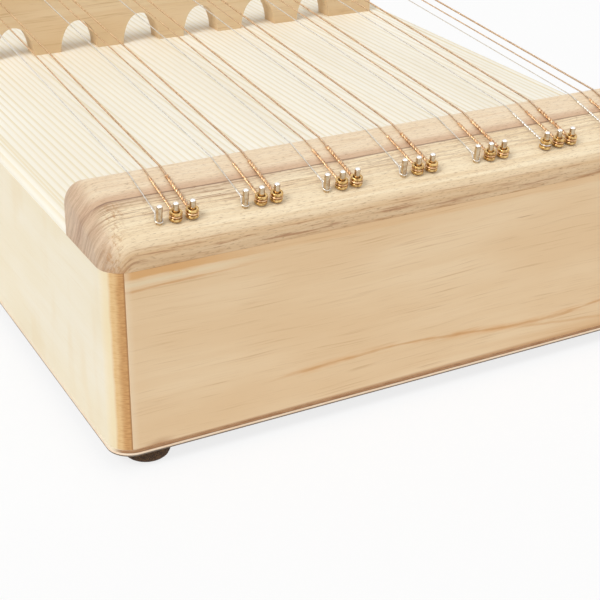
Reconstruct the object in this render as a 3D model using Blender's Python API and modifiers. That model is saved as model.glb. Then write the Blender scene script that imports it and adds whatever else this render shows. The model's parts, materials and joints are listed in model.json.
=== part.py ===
"""A string tambourine: a shallow box zither with seven courses of three strings.

The strings run from hitch pins in a sloping rail at the front, over a bridge in the
middle of the soundboard, to tuning pins in a deeper rail at the far end.

Metres, +Z up. X runs across the strings, +Y along them from the hitch pins to the
tuning pins. The origin is the middle of the box at the underside of its feet.
"""

import math

import bmesh
import bpy
from mathutils import Matrix, Vector

# Strings and their layout
COURSES = 7
STRINGS_PER_COURSE = 3
COURSE_PITCH = 0.0294
STRING_PITCH = 0.00555
EDGE_MARGIN = 0.0206
STRING_DIAMETERS = (0.0004, 0.0006, 0.0008)
LOCK_DIAMETERS = (0.0008, 0.0011, 0.0015)
LOCK_LENGTH = 0.018
LOOP_COURSES = 5

# Box
BOX_LENGTH = 0.440
CORNER_RADIUS = 0.0085
FRAME_HEIGHT = 0.063
BOARD_THICKNESS = 0.006
PLATE_THICKNESS = 0.0025
SOUNDBOARD_THICKNESS = 0.0035
SOUNDBOARD_EDGE_RADIUS = 0.0026
SOUND_HOLE_DIAMETER = 0.050
SOUND_HOLE_FROM_BRIDGE = 0.090
GLUE_GAP = 0.0003

# Rails
RAIL_HEIGHT = 0.0189
HITCH_RAIL_DEPTH = 0.0351
HITCH_RAIL_SLOPE = math.radians(17.7)
TUNING_RAIL_DEPTH = 0.052
TUNING_RAIL_SLOPE = math.radians(11.0)
NOSE_RADIUS = 0.009
NOSE_LEAST_WALL = 0.0005
CREST_RADIUS = 0.003
RAIL_END_RADIUS = 0.006

# Blocks and bars inside the box
BLOCK_HEIGHT = 0.045
BLOCK_LEDGE = 0.008
BRACE_WIDTH = 0.010
BRACE_HEIGHT = 0.012
BRACE_TIP_HEIGHT = 0.004
BRACE_TAPER = 0.030
BRACE_FROM_BRIDGE = 0.045
BOTTOM_BRACE_WIDTH = 0.014
BOTTOM_BRACE_HEIGHT = 0.008

# Bridge
BRIDGE_HEIGHT = 0.030
BRIDGE_FOOT_THICKNESS = 0.010
BRIDGE_TOP_RADIUS = 0.0015
BRIDGE_FOOT_WIDTH = 0.012
BRIDGE_ARCH_HEIGHT = 0.013
BRIDGE_END_MARGIN = 0.0115
BRIDGE_SHOULDER = 0.012

# Hitch pins and the ends of the strings
HITCH_PIN_DIAMETER = 0.002
HITCH_PIN_STAND = 0.0066
HITCH_PIN_DEPTH = 0.006
HITCH_PIN_FROM_FRONT = 0.0069
HITCH_PIN_LEAN = math.radians(8.0)
BALL_DIAMETER = 0.0042
BALL_HEIGHT = 0.003
BALL_GROOVE_DIAMETER = 0.0035
BALL_GROOVE_HEIGHT = 0.001
FITTING_CLEARANCE = 0.0003
LOOP_WIDTH = 0.003
LOOP_LENGTH = 0.004
LOOP_TILT = math.radians(30.0)
LOOP_HEIGHT = 0.0018

# Tuning pins
TUNING_PIN_DIAMETER = 0.005
TUNING_PIN_LENGTH = 0.045
TUNING_PIN_STAND = 0.017
TUNING_PIN_FLATS = 0.0041
TUNING_PIN_HEAD = 0.008
TUNING_PIN_CHAMFER = 0.0006
TUNING_ROW_FIRST = 0.012
TUNING_ROW_PITCH = 0.011
EYE_HEIGHT = 0.0062
EYE_DIAMETER = 0.0012
BORE_CLEARANCE = 0.00006
BORE_FLOOR = 0.001

# Coils of string on the tuning pins
COIL_TURNS = 2.25
COIL_STEPS = 8
COIL_GAP = 0.00055
COIL_CLEARANCE = 0.0002
LEAST_SELF_GAP = 0.0004

# Feet
FOOT_DIAMETER = 0.016
FOOT_HEIGHT = 0.0055
FOOT_EDGE_RADIUS = 0.0025
FOOT_FROM_SIDE = 0.0142
FOOT_FROM_END = 0.0095

# Fineness of the round shapes
CORNER_STEPS = 7
NOSE_STEPS = 7
CREST_STEPS = 5
HITCH_PIN_SIDES = 8
TUNING_PIN_SIDES = 12
RING_STEPS = 10
FOOT_STEPS = 18
HOLE_SIDES = 32
ARCH_STEPS = 8

# Sizes that follow from the ones above
COURSE_SPAN = (STRINGS_PER_COURSE - 1) * STRING_PITCH
STRING_SPAN = (COURSES - 1) * COURSE_PITCH + COURSE_SPAN
BOX_WIDTH = STRING_SPAN + 2 * EDGE_MARGIN
SIDE = BOX_WIDTH / 2
END = BOX_LENGTH / 2
PLATE_BOTTOM = FOOT_HEIGHT + GLUE_GAP
FRAME_BOTTOM = PLATE_BOTTOM + PLATE_THICKNESS + GLUE_GAP
FRAME_TOP = FRAME_BOTTOM + FRAME_HEIGHT
DECK_BOTTOM = FRAME_TOP + GLUE_GAP
SOUNDBOARD_TOP = DECK_BOTTOM + SOUNDBOARD_THICKNESS
INNER_SIDE = SIDE - BOARD_THICKNESS - GLUE_GAP
INNER_END = END - BOARD_THICKNESS - GLUE_GAP
BRIDGE_BOTTOM = SOUNDBOARD_TOP + GLUE_GAP
BRIDGE_TOP = BRIDGE_BOTTOM + BRIDGE_HEIGHT


def srgb(red, green, blue):
    """Linear colour from the usual 0 to 255 values."""
    def linear(value):
        share = value / 255
        if share <= 0.04045:
            return share / 12.92
        return ((share + 0.055) / 1.055) ** 2.4
    return linear(red), linear(green), linear(blue), 1.0


def make_material(name, colour, roughness, metallic=0.0):
    material = bpy.data.materials.new(name)
    material.use_nodes = True
    shader = material.node_tree.nodes["Principled BSDF"]
    shader.inputs["Base Color"].default_value = colour
    shader.inputs["Roughness"].default_value = roughness
    shader.inputs["Metallic"].default_value = metallic
    return material


def make_materials():
    return {
        "maple": make_material("maple", srgb(222, 192, 150), 0.5),
        "spruce": make_material("spruce", srgb(245, 238, 218), 0.5),
        "walnut": make_material("walnut", srgb(221, 193, 153), 0.5),
        "beech": make_material("beech", srgb(206, 168, 124), 0.6),
        "plywood": make_material("plywood", srgb(232, 208, 170), 0.6),
        "steel": make_material("steel", srgb(205, 205, 205), 0.25, 1.0),
        "bronze": make_material("bronze", srgb(205, 140, 80), 0.3, 1.0),
        "foot": make_material("foot", srgb(58, 42, 30), 0.8),
    }


def make_collection(name):
    collection = bpy.data.collections.new(name)
    bpy.context.scene.collection.children.link(collection)
    return collection


def add_part(mesh, name, material):
    """A named piece of the instrument."""
    mesh.name = name
    mesh.materials.clear()
    mesh.materials.append(MATERIALS[material])
    obj = bpy.data.objects.new(name, mesh)
    PARTS.objects.link(obj)
    return obj


def add_cutter(mesh, name):
    """A shape that only cuts or joins other pieces."""
    mesh.name = name
    obj = bpy.data.objects.new(name, mesh)
    obj.hide_render = True
    obj.display_type = "WIRE"
    CUTTERS.objects.link(obj)
    return obj


def combine(obj, other, operation):
    """Cut or join an object with another by a Boolean modifier."""
    modifier = obj.modifiers.new(operation.lower() + "_" + other.name, "BOOLEAN")
    modifier.operation = operation
    modifier.solver = "EXACT"
    modifier.object = other


def mesh_from(shape):
    """A mesh from a bmesh, with its faces pointing out."""
    bmesh.ops.recalc_face_normals(shape, faces=shape.faces)
    mesh = bpy.data.meshes.new("shape")
    shape.to_mesh(mesh)
    shape.free()
    return mesh


def smooth(mesh):
    mesh.shade_smooth()
    mesh.set_sharp_from_angle(angle=math.radians(35))
    return mesh


def box_mesh(low, high):
    """A box between two corners."""
    low = Vector(low)
    high = Vector(high)
    size = high - low
    shape = bmesh.new()
    place = Matrix.Translation((low + high) / 2) @ Matrix.Diagonal((*size, 1.0))
    bmesh.ops.create_cube(shape, size=1.0, matrix=place)
    return mesh_from(shape)


def curve_mesh(curve):
    """The mesh of a curve, with its loose caps welded."""
    holder = bpy.data.objects.new("curve", curve)
    bpy.context.scene.collection.objects.link(holder)
    bpy.context.view_layer.update()
    evaluated = holder.evaluated_get(bpy.context.evaluated_depsgraph_get())
    mesh = bpy.data.meshes.new_from_object(evaluated)
    bpy.data.objects.remove(holder)
    bpy.data.curves.remove(curve)
    shape = bmesh.new()
    shape.from_mesh(mesh)
    bpy.data.meshes.remove(mesh)
    bmesh.ops.remove_doubles(shape, verts=shape.verts, dist=0.000001)
    return mesh_from(shape)


def add_spline(curve, points, cyclic):
    spline = curve.splines.new("POLY")
    spline.points.add(len(points) - 1)
    for point, place in zip(spline.points, points):
        point.co = (*place, 1.0)
    spline.use_cyclic_u = cyclic
    return spline


def outline_mesh(outline, thickness, place):
    """A flat outline given thickness, half of it to each side, then moved to its place."""
    curve = bpy.data.curves.new("outline", "CURVE")
    curve.dimensions = "2D"
    curve.fill_mode = "BOTH"
    curve.extrude = thickness / 2
    add_spline(curve, [(x, y, 0.0) for x, y in outline], True)
    mesh = curve_mesh(curve)
    mesh.transform(place)
    return mesh


def upright_x(x, y, z):
    """Places an outline drawn across and up, as seen from the front."""
    return Matrix.Translation((x, y, z)) @ Matrix.Rotation(math.pi / 2, 4, "X")


def upright_y(x, y, z):
    """Places an outline drawn along the strings and up, as seen from the side."""
    return Matrix.Translation((x, y, z)) @ Matrix((
        (0, 0, 1, 0),
        (1, 0, 0, 0),
        (0, 1, 0, 0),
        (0, 0, 0, 1),
    ))


def arc(centre, radius, start, end, steps):
    """Points of an arc between two angles in degrees."""
    points = []
    for step in range(steps + 1):
        angle = math.radians(start + (end - start) * step / steps)
        points.append((centre[0] + radius * math.cos(angle), centre[1] + radius * math.sin(angle)))
    return points


def box_outline():
    """The plan of the box, with its rounded corners."""
    x = SIDE - CORNER_RADIUS
    y = END - CORNER_RADIUS
    outline = arc((x, y), CORNER_RADIUS, 0, 90, CORNER_STEPS)
    outline += arc((-x, y), CORNER_RADIUS, 90, 180, CORNER_STEPS)
    outline += arc((-x, -y), CORNER_RADIUS, 180, 270, CORNER_STEPS)
    outline += arc((x, -y), CORNER_RADIUS, 270, 360, CORNER_STEPS)
    return outline


def loft(rings):
    """A closed solid through rings of points, all with the same count."""
    shape = bmesh.new()
    loops = [[shape.verts.new(point) for point in ring] for ring in rings]
    count = len(loops[0])
    for first, second in zip(loops, loops[1:]):
        for i in range(count):
            j = (i + 1) % count
            shape.faces.new((first[i], first[j], second[j], second[i]))
    shape.faces.new(loops[0])
    shape.faces.new(loops[-1])
    return mesh_from(shape)


def place_string(index):
    """Course, place in the course and x of a string, counted from the left."""
    course, rank = divmod(index, STRINGS_PER_COURSE)
    x = -STRING_SPAN / 2 + course * COURSE_PITCH + rank * STRING_PITCH
    return course, rank, x


# Rails: each is a loft of one sloping section, lowered and drawn in towards its ends

def end_inset(distance, radius):
    """How far a rounded end draws in, at a distance from the end face."""
    rest = max(radius - distance, 0.0)
    return radius - math.sqrt(radius ** 2 - rest ** 2)


def rail_line(depth, height, slope):
    """Height of the sloping top where it starts, and where that is."""
    u = depth - CREST_RADIUS * (1 + math.sin(slope))
    v = height - CREST_RADIUS * (1 - math.cos(slope))
    return u, v


def rail_surface(depth, slope, u):
    """World height of a rail's sloping top at a distance from its outer face."""
    top_u, top_v = rail_line(depth, RAIL_HEIGHT, slope)
    return DECK_BOTTOM + top_v + (u - top_u) * math.tan(slope)


def rail_section(depth, height, slope, inset):
    """Section of a rail: distance in from the outer face, and height above the frame."""
    top_u, top_v = rail_line(depth, height, slope)
    front_v = top_v + (inset - top_u) * math.tan(slope)
    rise = math.cos(slope) - (1 - math.sin(slope)) * math.tan(slope)
    radius = min(NOSE_RADIUS, (front_v - NOSE_LEAST_WALL) / rise)
    nose = (inset + radius, front_v - radius * rise)
    lean = math.degrees(slope)
    section = [(depth, 0.0), (inset, 0.0)]
    section += arc(nose, radius, 180, 90 + lean, NOSE_STEPS)
    crest = (depth - CREST_RADIUS, height - CREST_RADIUS)
    section += arc(crest, CREST_RADIUS, 90 + lean, 0, CREST_STEPS)
    return section


def rail_mesh(depth, slope, facing):
    """A rail along X. Facing is 1 for the front end and -1 for the far end."""
    stations = []
    for step in range(CORNER_STEPS + 1):
        angle = math.pi / 2 * step / CORNER_STEPS
        distance = CORNER_RADIUS * (1 - math.cos(angle))
        height = RAIL_HEIGHT - end_inset(distance, RAIL_END_RADIUS)
        inset = end_inset(distance, CORNER_RADIUS)
        stations.append((SIDE - distance, rail_section(depth, height, slope, inset)))
    rings = []
    for x, section in stations:
        rings.append([(-x, facing * (u - END), DECK_BOTTOM + v) for u, v in section])
    for x, section in reversed(stations):
        rings.append([(x, facing * (u - END), DECK_BOTTOM + v) for u, v in section])
    return smooth(loft(rings))


def hitch_pin_base(x):
    """Where a hitch pin's axis leaves the sloping top of the hitch rail."""
    height = rail_surface(HITCH_RAIL_DEPTH, HITCH_RAIL_SLOPE, HITCH_PIN_FROM_FRONT)
    return Vector((x, HITCH_PIN_FROM_FRONT - END, height))


def hitch_pin_profile():
    """Half section of a hitch pin with its domed top, top to bottom."""
    radius = HITCH_PIN_DIAMETER / 2
    dome = arc((0.0, HITCH_PIN_STAND - radius), radius, 90, 0, 2)
    return dome + [(radius, -HITCH_PIN_DEPTH), (0.0, -HITCH_PIN_DEPTH)]


def hitch_pins_mesh():
    """All hitch pins, leaning away from the pull of the strings."""
    profile = hitch_pin_profile()
    shape = bmesh.new()
    lean = Matrix.Rotation(HITCH_PIN_LEAN, 4, "X")
    for index in range(COURSES * STRINGS_PER_COURSE):
        x = place_string(index)[2]
        place = Matrix.Translation(hitch_pin_base(x)) @ lean
        verts = [shape.verts.new(place @ Vector((u, 0.0, v))) for u, v in profile]
        edges = [shape.edges.new(pair) for pair in zip(verts, verts[1:])]
        bmesh.ops.spin(
            shape,
            geom=verts + edges,
            cent=place.translation,
            axis=lean @ Vector((0, 0, 1)),
            angle=2 * math.pi,
            steps=HITCH_PIN_SIDES,
            use_merge=True,
        )
    bmesh.ops.remove_doubles(shape, verts=shape.verts, dist=0.000001)
    return mesh_from(shape)


def make_rails():
    rail = add_part(rail_mesh(HITCH_RAIL_DEPTH, HITCH_RAIL_SLOPE, 1), "hitch_rail", "walnut")
    combine(rail, add_cutter(hitch_pins_mesh(), "hitch_pins"), "UNION")
    rail = add_part(rail_mesh(TUNING_RAIL_DEPTH, TUNING_RAIL_SLOPE, -1), "tuning_rail", "walnut")
    combine(rail, bpy.data.objects["tuning_bores"], "DIFFERENCE")


# Tuning pins and their bores

def tuning_pin_place(index):
    """Top of the rail at a tuning pin, to the right of the string that it holds."""
    rank, x = place_string(index)[1:]
    from_end = TUNING_ROW_FIRST + rank * TUNING_ROW_PITCH
    height = rail_surface(TUNING_RAIL_DEPTH, TUNING_RAIL_SLOPE, from_end)
    return Vector((x + coil_radius(rank), END - from_end, height))


def pin_ring(radius, flats, height):
    """Round section of a tuning pin, cut to four flats where they are narrower."""
    ring = []
    half = flats / 2
    for step in range(TUNING_PIN_SIDES):
        angle = 2 * math.pi * (step + 0.5) / TUNING_PIN_SIDES
        x = max(-half, min(half, radius * math.cos(angle)))
        y = max(-half, min(half, radius * math.sin(angle)))
        ring.append((x, y, height))
    return ring


def tuning_pin_mesh():
    """A pin with a square head, its origin on its axis at the top of the rail."""
    radius = TUNING_PIN_DIAMETER / 2
    bottom = TUNING_PIN_STAND - TUNING_PIN_LENGTH
    shoulder = TUNING_PIN_STAND - TUNING_PIN_HEAD
    chamfer = TUNING_PIN_CHAMFER
    rings = [
        pin_ring(radius - chamfer, TUNING_PIN_DIAMETER, bottom),
        pin_ring(radius, TUNING_PIN_DIAMETER, bottom + chamfer),
        pin_ring(radius, TUNING_PIN_DIAMETER, shoulder - chamfer),
        pin_ring(radius, TUNING_PIN_FLATS, shoulder),
        pin_ring(radius, TUNING_PIN_FLATS, TUNING_PIN_STAND - chamfer),
        pin_ring(radius - chamfer, TUNING_PIN_FLATS - chamfer, TUNING_PIN_STAND),
    ]
    return smooth(loft(rings))


def cylinder_mesh(diameter, sides, place, length):
    shape = bmesh.new()
    bmesh.ops.create_cone(
        shape,
        cap_ends=True,
        segments=sides,
        radius1=diameter / 2,
        radius2=diameter / 2,
        depth=length,
        matrix=place,
    )
    return mesh_from(shape)


def make_tuning_pins():
    pin = tuning_pin_mesh()
    eye_place = Matrix.Translation((0, 0, EYE_HEIGHT)) @ Matrix.Rotation(math.pi / 2, 4, "X")
    eye = cylinder_mesh(EYE_DIAMETER, 6, eye_place, 2 * TUNING_PIN_DIAMETER)
    for index in range(COURSES * STRINGS_PER_COURSE):
        number = "%02d" % (index + 1)
        obj = add_part(pin.copy(), "tuning_pin_" + number, "steel")
        obj.location = tuning_pin_place(index)
        cutter = add_cutter(eye, "pin_eye_" + number)
        cutter.location = obj.location
        combine(obj, cutter, "DIFFERENCE")


def make_tuning_bores():
    """One cutter with every bore, through the rail and blind in the block."""
    diameter = (TUNING_PIN_DIAMETER + 2 * BORE_CLEARANCE) / math.cos(math.pi / TUNING_PIN_SIDES)
    low = TUNING_PIN_STAND - TUNING_PIN_LENGTH - BORE_FLOOR
    high = RAIL_HEIGHT
    shape = bmesh.new()
    for index in range(COURSES * STRINGS_PER_COURSE):
        place = Matrix.Translation(tuning_pin_place(index) + Vector((0, 0, (low + high) / 2)))
        bmesh.ops.create_cone(
            shape,
            cap_ends=True,
            segments=TUNING_PIN_SIDES,
            radius1=diameter / 2,
            radius2=diameter / 2,
            depth=high - low,
            matrix=place,
        )
    add_cutter(mesh_from(shape), "tuning_bores")


# Box

def make_box():
    outline = box_outline()
    tall = 2 * (FRAME_TOP + FRAME_HEIGHT)
    plan = add_cutter(outline_mesh(outline, tall, Matrix.Identity(4)), "box_plan")

    middle = PLATE_BOTTOM + PLATE_THICKNESS / 2
    plate = outline_mesh(outline, PLATE_THICKNESS, Matrix.Translation((0, 0, middle)))
    add_part(plate, "bottom_plate", "plywood")

    inner = SIDE - BOARD_THICKNESS
    boards = {
        "side_board_left": ((-SIDE, -END), (-inner, END)),
        "side_board_right": ((inner, -END), (SIDE, END)),
        "front_board": ((-INNER_SIDE, -END), (INNER_SIDE, BOARD_THICKNESS - END)),
        "end_board": ((-INNER_SIDE, END - BOARD_THICKNESS), (INNER_SIDE, END)),
    }
    for name, (low, high) in boards.items():
        board = add_part(box_mesh((*low, FRAME_BOTTOM), (*high, FRAME_TOP)), name, "maple")
        combine(board, plan, "INTERSECT")


def make_blocks():
    """Hardwood blocks behind the end boards, each with a ledge under the soundboard."""
    low = FRAME_TOP - BLOCK_HEIGHT
    reach = END - HITCH_RAIL_DEPTH - BLOCK_LEDGE
    block = box_mesh((-INNER_SIDE, -INNER_END, low), (INNER_SIDE, -reach, FRAME_TOP))
    add_part(block, "hitch_block", "beech")
    reach = END - TUNING_RAIL_DEPTH - BLOCK_LEDGE
    block = box_mesh((-INNER_SIDE, reach, low), (INNER_SIDE, INNER_END, FRAME_TOP))
    block = add_part(block, "tuning_block", "beech")
    combine(block, bpy.data.objects["tuning_bores"], "DIFFERENCE")


def make_soundboard():
    """The board between the rails, rounded along its two long upper edges."""
    low = (-SIDE, HITCH_RAIL_DEPTH + GLUE_GAP - END, DECK_BOTTOM)
    high = (SIDE, END - TUNING_RAIL_DEPTH - GLUE_GAP, SOUNDBOARD_TOP)
    shape = bmesh.new()
    shape.from_mesh(box_mesh(low, high))
    middle = (DECK_BOTTOM + SOUNDBOARD_TOP) / 2
    edges = []
    for edge in shape.edges:
        first, second = (vert.co for vert in edge.verts)
        if min(first.z, second.z) > middle and abs(first.y - second.y) > SIDE / 2:
            edges.append(edge)
    bmesh.ops.bevel(
        shape,
        geom=edges,
        offset=SOUNDBOARD_EDGE_RADIUS,
        offset_type="OFFSET",
        segments=4,
        profile=0.5,
        affect="EDGES",
    )
    board = add_part(mesh_from(shape), "soundboard", "spruce")
    hole_place = Matrix.Translation((0, SOUND_HOLE_FROM_BRIDGE, SOUNDBOARD_TOP))
    hole = cylinder_mesh(SOUND_HOLE_DIAMETER, HOLE_SIDES, hole_place, 4 * SOUNDBOARD_THICKNESS)
    combine(board, add_cutter(hole, "sound_hole"), "DIFFERENCE")


def make_braces():
    """Two bars under the soundboard, thinned at their ends, and one on the bottom plate."""
    tip = BRACE_HEIGHT - BRACE_TIP_HEIGHT
    outline = [
        (-INNER_SIDE, 0.0),
        (-INNER_SIDE, -BRACE_TIP_HEIGHT),
        (BRACE_TAPER - INNER_SIDE, -BRACE_TIP_HEIGHT - tip),
        (INNER_SIDE - BRACE_TAPER, -BRACE_TIP_HEIGHT - tip),
        (INNER_SIDE, -BRACE_TIP_HEIGHT),
        (INNER_SIDE, 0.0),
    ]
    top = DECK_BOTTOM - GLUE_GAP
    for name, y in (("front", -BRACE_FROM_BRIDGE), ("back", BRACE_FROM_BRIDGE)):
        bar = outline_mesh(outline, BRACE_WIDTH, upright_x(0, y, top))
        add_part(bar, "soundboard_brace_" + name, "spruce")
    half = BOTTOM_BRACE_WIDTH / 2
    top = FRAME_BOTTOM + BOTTOM_BRACE_HEIGHT
    bar = box_mesh((-INNER_SIDE, -half, FRAME_BOTTOM), (INNER_SIDE, half, top))
    add_part(bar, "bottom_brace", "spruce")


def bridge_outline():
    """Front view of the bridge: a foot under each course, with round arches between."""
    first = -(COURSES - 1) / 2 * COURSE_PITCH
    half_foot = BRIDGE_FOOT_WIDTH / 2
    half_arch = (COURSE_PITCH - BRIDGE_FOOT_WIDTH) / 2
    end = STRING_SPAN / 2 + BRIDGE_END_MARGIN
    shoulder = BRIDGE_SHOULDER
    outline = [(-end, 0.0)]
    for course in range(COURSES - 1):
        middle = first + (course + 0.5) * COURSE_PITCH
        outline.append((middle - half_arch, 0.0))
        for u, v in arc((0.0, 0.0), 1.0, 180, 0, ARCH_STEPS)[1:-1]:
            outline.append((middle + u * half_arch, v * BRIDGE_ARCH_HEIGHT))
        outline.append((middle + half_arch, 0.0))
    outline.append((max(end, -first + half_foot), 0.0))
    outline += arc((end - shoulder, BRIDGE_HEIGHT - shoulder), shoulder, 0, 90, 6)
    outline += arc((shoulder - end, BRIDGE_HEIGHT - shoulder), shoulder, 90, 180, 6)
    return outline


def bridge_section():
    """Side view of the bridge: straight feet, then a taper to a narrow round top."""
    half = BRIDGE_FOOT_THICKNESS / 2
    radius = BRIDGE_TOP_RADIUS
    section = [(-half, 0.0), (half, 0.0), (half, BRIDGE_ARCH_HEIGHT / 2)]
    section += arc((0.0, BRIDGE_HEIGHT - radius), radius, 10, 170, 6)
    section.append((-half, BRIDGE_ARCH_HEIGHT / 2))
    return section


def make_bridge():
    place = upright_x(0, 0, BRIDGE_BOTTOM)
    bridge = add_part(outline_mesh(bridge_outline(), 2 * BRIDGE_FOOT_THICKNESS, place), "bridge", "maple")
    side = outline_mesh(bridge_section(), 2 * BOX_WIDTH, upright_y(0, 0, BRIDGE_BOTTOM))
    combine(bridge, add_cutter(side, "bridge_side"), "INTERSECT")


def make_feet():
    """Four round feet with rounded lower edges."""
    radius = FOOT_DIAMETER / 2
    edge = FOOT_EDGE_RADIUS
    profile = [(0.0, FOOT_HEIGHT), (radius, FOOT_HEIGHT)]
    profile += arc((radius - edge, edge), edge, 0, -90, 4)
    profile.append((0.0, 0.0))
    mesh = bpy.data.meshes.new("foot_profile")
    edges = [(i, i + 1) for i in range(len(profile) - 1)]
    mesh.from_pydata([(u, 0.0, v) for u, v in profile], edges, [])
    x = SIDE - FOOT_FROM_SIDE
    y = END - FOOT_FROM_END
    places = {
        "foot_front_left": (-x, -y),
        "foot_front_right": (x, -y),
        "foot_back_left": (-x, y),
        "foot_back_right": (x, y),
    }
    for name, place in places.items():
        foot = add_part(mesh.copy(), name, "foot")
        foot.location = (*place, 0.0)
        screw = foot.modifiers.new("turn", "SCREW")
        screw.steps = FOOT_STEPS
        screw.render_steps = FOOT_STEPS
        screw.use_merge_vertices = True
        screw.merge_threshold = 0.00001
        screw.use_smooth_shade = True


# Strings: each is one tube from its end fitting to the coil on its tuning pin

def coil_radius(rank):
    """Radius of the coil's middle line, which clears the pin at the coil's flats."""
    inner = TUNING_PIN_DIAMETER / 2 + COIL_CLEARANCE + STRING_DIAMETERS[rank] / 2
    return inner / math.cos(math.pi / COIL_STEPS)


def coil_points(rank, pin):
    """The coil below the pin's eye, wound clockwise as seen from above."""
    radius = coil_radius(rank)
    pitch = STRING_DIAMETERS[rank] + COIL_GAP
    count = round(COIL_TURNS * COIL_STEPS)
    points = []
    for step in range(count + 1):
        angle = math.pi - 2 * math.pi * step / COIL_STEPS
        rise = EYE_HEIGHT - pitch * (count - step) / COIL_STEPS
        points.append(pin + Vector((radius * math.cos(angle), radius * math.sin(angle), rise)))
    return points


def over_crest(x, depth, facing, radius, slopes):
    """Points of a string that bends over a rail's crest, near its inner edge."""
    reach = CREST_RADIUS + GLUE_GAP + radius
    middle_y = facing * (depth - CREST_RADIUS - END)
    middle_z = DECK_BOTTOM + RAIL_HEIGHT - CREST_RADIUS
    points = []
    for slope in slopes:
        y = middle_y - facing * reach * math.sin(slope)
        points.append(Vector((x, y, middle_z + reach * math.cos(slope))))
    return points


def ball_middle(x):
    """Middle of a ball end, which rests on the rail by the lower edge of its back."""
    lean = HITCH_RAIL_SLOPE - HITCH_PIN_LEAN
    lift = FITTING_CLEARANCE + BALL_DIAMETER / 2 * math.tan(lean) + BALL_HEIGHT / 2
    axis = Vector((0, -math.sin(HITCH_PIN_LEAN), math.cos(HITCH_PIN_LEAN)))
    return hitch_pin_base(x) + axis * lift


def loop_middle(x):
    """Middle of a wire loop, moved back so that its front lies against the pin."""
    axis = Vector((0, -math.sin(HITCH_PIN_LEAN), math.cos(HITCH_PIN_LEAN)))
    back = Vector((0, math.cos(LOOP_TILT), math.sin(LOOP_TILT)))
    return hitch_pin_base(x) + axis * LOOP_HEIGHT + back * (LOOP_LENGTH - LOOP_WIDTH) / 2


def string_start(course, rank, x):
    """First point of a string's tube, inside its ball end or its wire loop."""
    if rank == 0 and course < LOOP_COURSES:
        back = Vector((0, math.cos(LOOP_TILT), math.sin(LOOP_TILT)))
        return loop_middle(x) + back * LOOP_LENGTH / 2
    bore = HITCH_PIN_DIAMETER / 2 + FITTING_CLEARANCE
    back = Vector((0, math.cos(HITCH_PIN_LEAN), math.sin(HITCH_PIN_LEAN)))
    return ball_middle(x) + back * (bore + BALL_GROOVE_DIAMETER / 2) / 2


def string_path(index):
    """Points of a string and its diameter at each."""
    course, rank, x = place_string(index)
    thin = STRING_DIAMETERS[rank]
    thick = LOCK_DIAMETERS[rank]
    radius = thin / 2
    start = string_start(course, rank, x)
    crest_y = HITCH_RAIL_DEPTH - CREST_RADIUS - END
    crest_z = DECK_BOTTOM + RAIL_HEIGHT + GLUE_GAP + radius
    rise_in = math.atan2(crest_z - start.z, crest_y - start.y)
    bridge_z = BRIDGE_TOP + GLUE_GAP + radius
    rise_up = math.atan2(bridge_z - crest_z, -crest_y)
    far_y = END - TUNING_RAIL_DEPTH + CREST_RADIUS
    fall = math.atan2(bridge_z - crest_z, far_y)
    coil = coil_points(rank, tuning_pin_place(index))
    drop = math.atan2(crest_z - coil[0].z, coil[0].y - far_y)

    over_front = over_crest(x, HITCH_RAIL_DEPTH, 1, radius, (rise_in, rise_up))
    over_back = over_crest(x, TUNING_RAIL_DEPTH, -1, radius, (fall, drop))
    lock = LOCK_LENGTH
    if rank == 0 and course < LOOP_COURSES:
        lock = LOOP_LENGTH
    along = (over_front[0] - start).normalized()
    path = [
        (start, thick),
        (start + along * lock, thick),
        (start + along * (lock + thick), thin),
    ]
    path += [(point, thin) for point in over_front]
    path.append((Vector((x, 0.0, bridge_z)), thin))
    path += [(point, thin) for point in over_back]
    path += [(point, thin) for point in coil]
    return path


def least_self_gap(path):
    """Smallest gap between parts of a string that lie half a turn or more apart."""
    points = [point for point, size in path]
    thickness = path[-1][1]
    coil = points[-round(COIL_TURNS * COIL_STEPS) - 1:]
    lead = [points[-len(coil) - 1].lerp(coil[0], share / 20) for share in range(20)]
    least = 1.0
    for first in range(len(coil)):
        for second in range(first + COIL_STEPS // 2, len(coil)):
            least = min(least, (coil[first] - coil[second]).length - thickness)
    for place in lead:
        for point in coil[COIL_STEPS // 2:]:
            least = min(least, (place - point).length - thickness)
    return least


def tube_mesh(path):
    """A round wire through points, each with its own diameter."""
    curve = bpy.data.curves.new("wire", "CURVE")
    curve.dimensions = "3D"
    curve.bevel_depth = path[-1][1] / 2
    curve.bevel_resolution = 1
    curve.use_fill_caps = True
    spline = add_spline(curve, [point for point, size in path], False)
    for point, (place, size) in zip(spline.points, path):
        point.radius = size / path[-1][1]
    return smooth(curve_mesh(curve))


def ball_profile():
    """Closed half section of a ball end: two flanges, a groove and a bore."""
    outer = BALL_DIAMETER / 2
    groove = BALL_GROOVE_DIAMETER / 2
    bore = HITCH_PIN_DIAMETER / 2 + FITTING_CLEARANCE
    top = BALL_HEIGHT / 2
    step = BALL_GROOVE_HEIGHT / 2
    return [
        (outer, top),
        (outer, step),
        (groove, step),
        (groove, -step),
        (outer, -step),
        (outer, -top),
        (bore, -top),
        (bore, top),
    ]


def make_ball(number, x, profile):
    ball = add_cutter(profile, "ball_end_" + number)
    ball.location = ball_middle(x)
    ball.rotation_euler = (HITCH_PIN_LEAN, 0, 0)
    screw = ball.modifiers.new("turn", "SCREW")
    screw.steps = RING_STEPS
    screw.render_steps = RING_STEPS
    screw.use_merge_vertices = True
    screw.merge_threshold = 0.00001
    return ball


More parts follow.
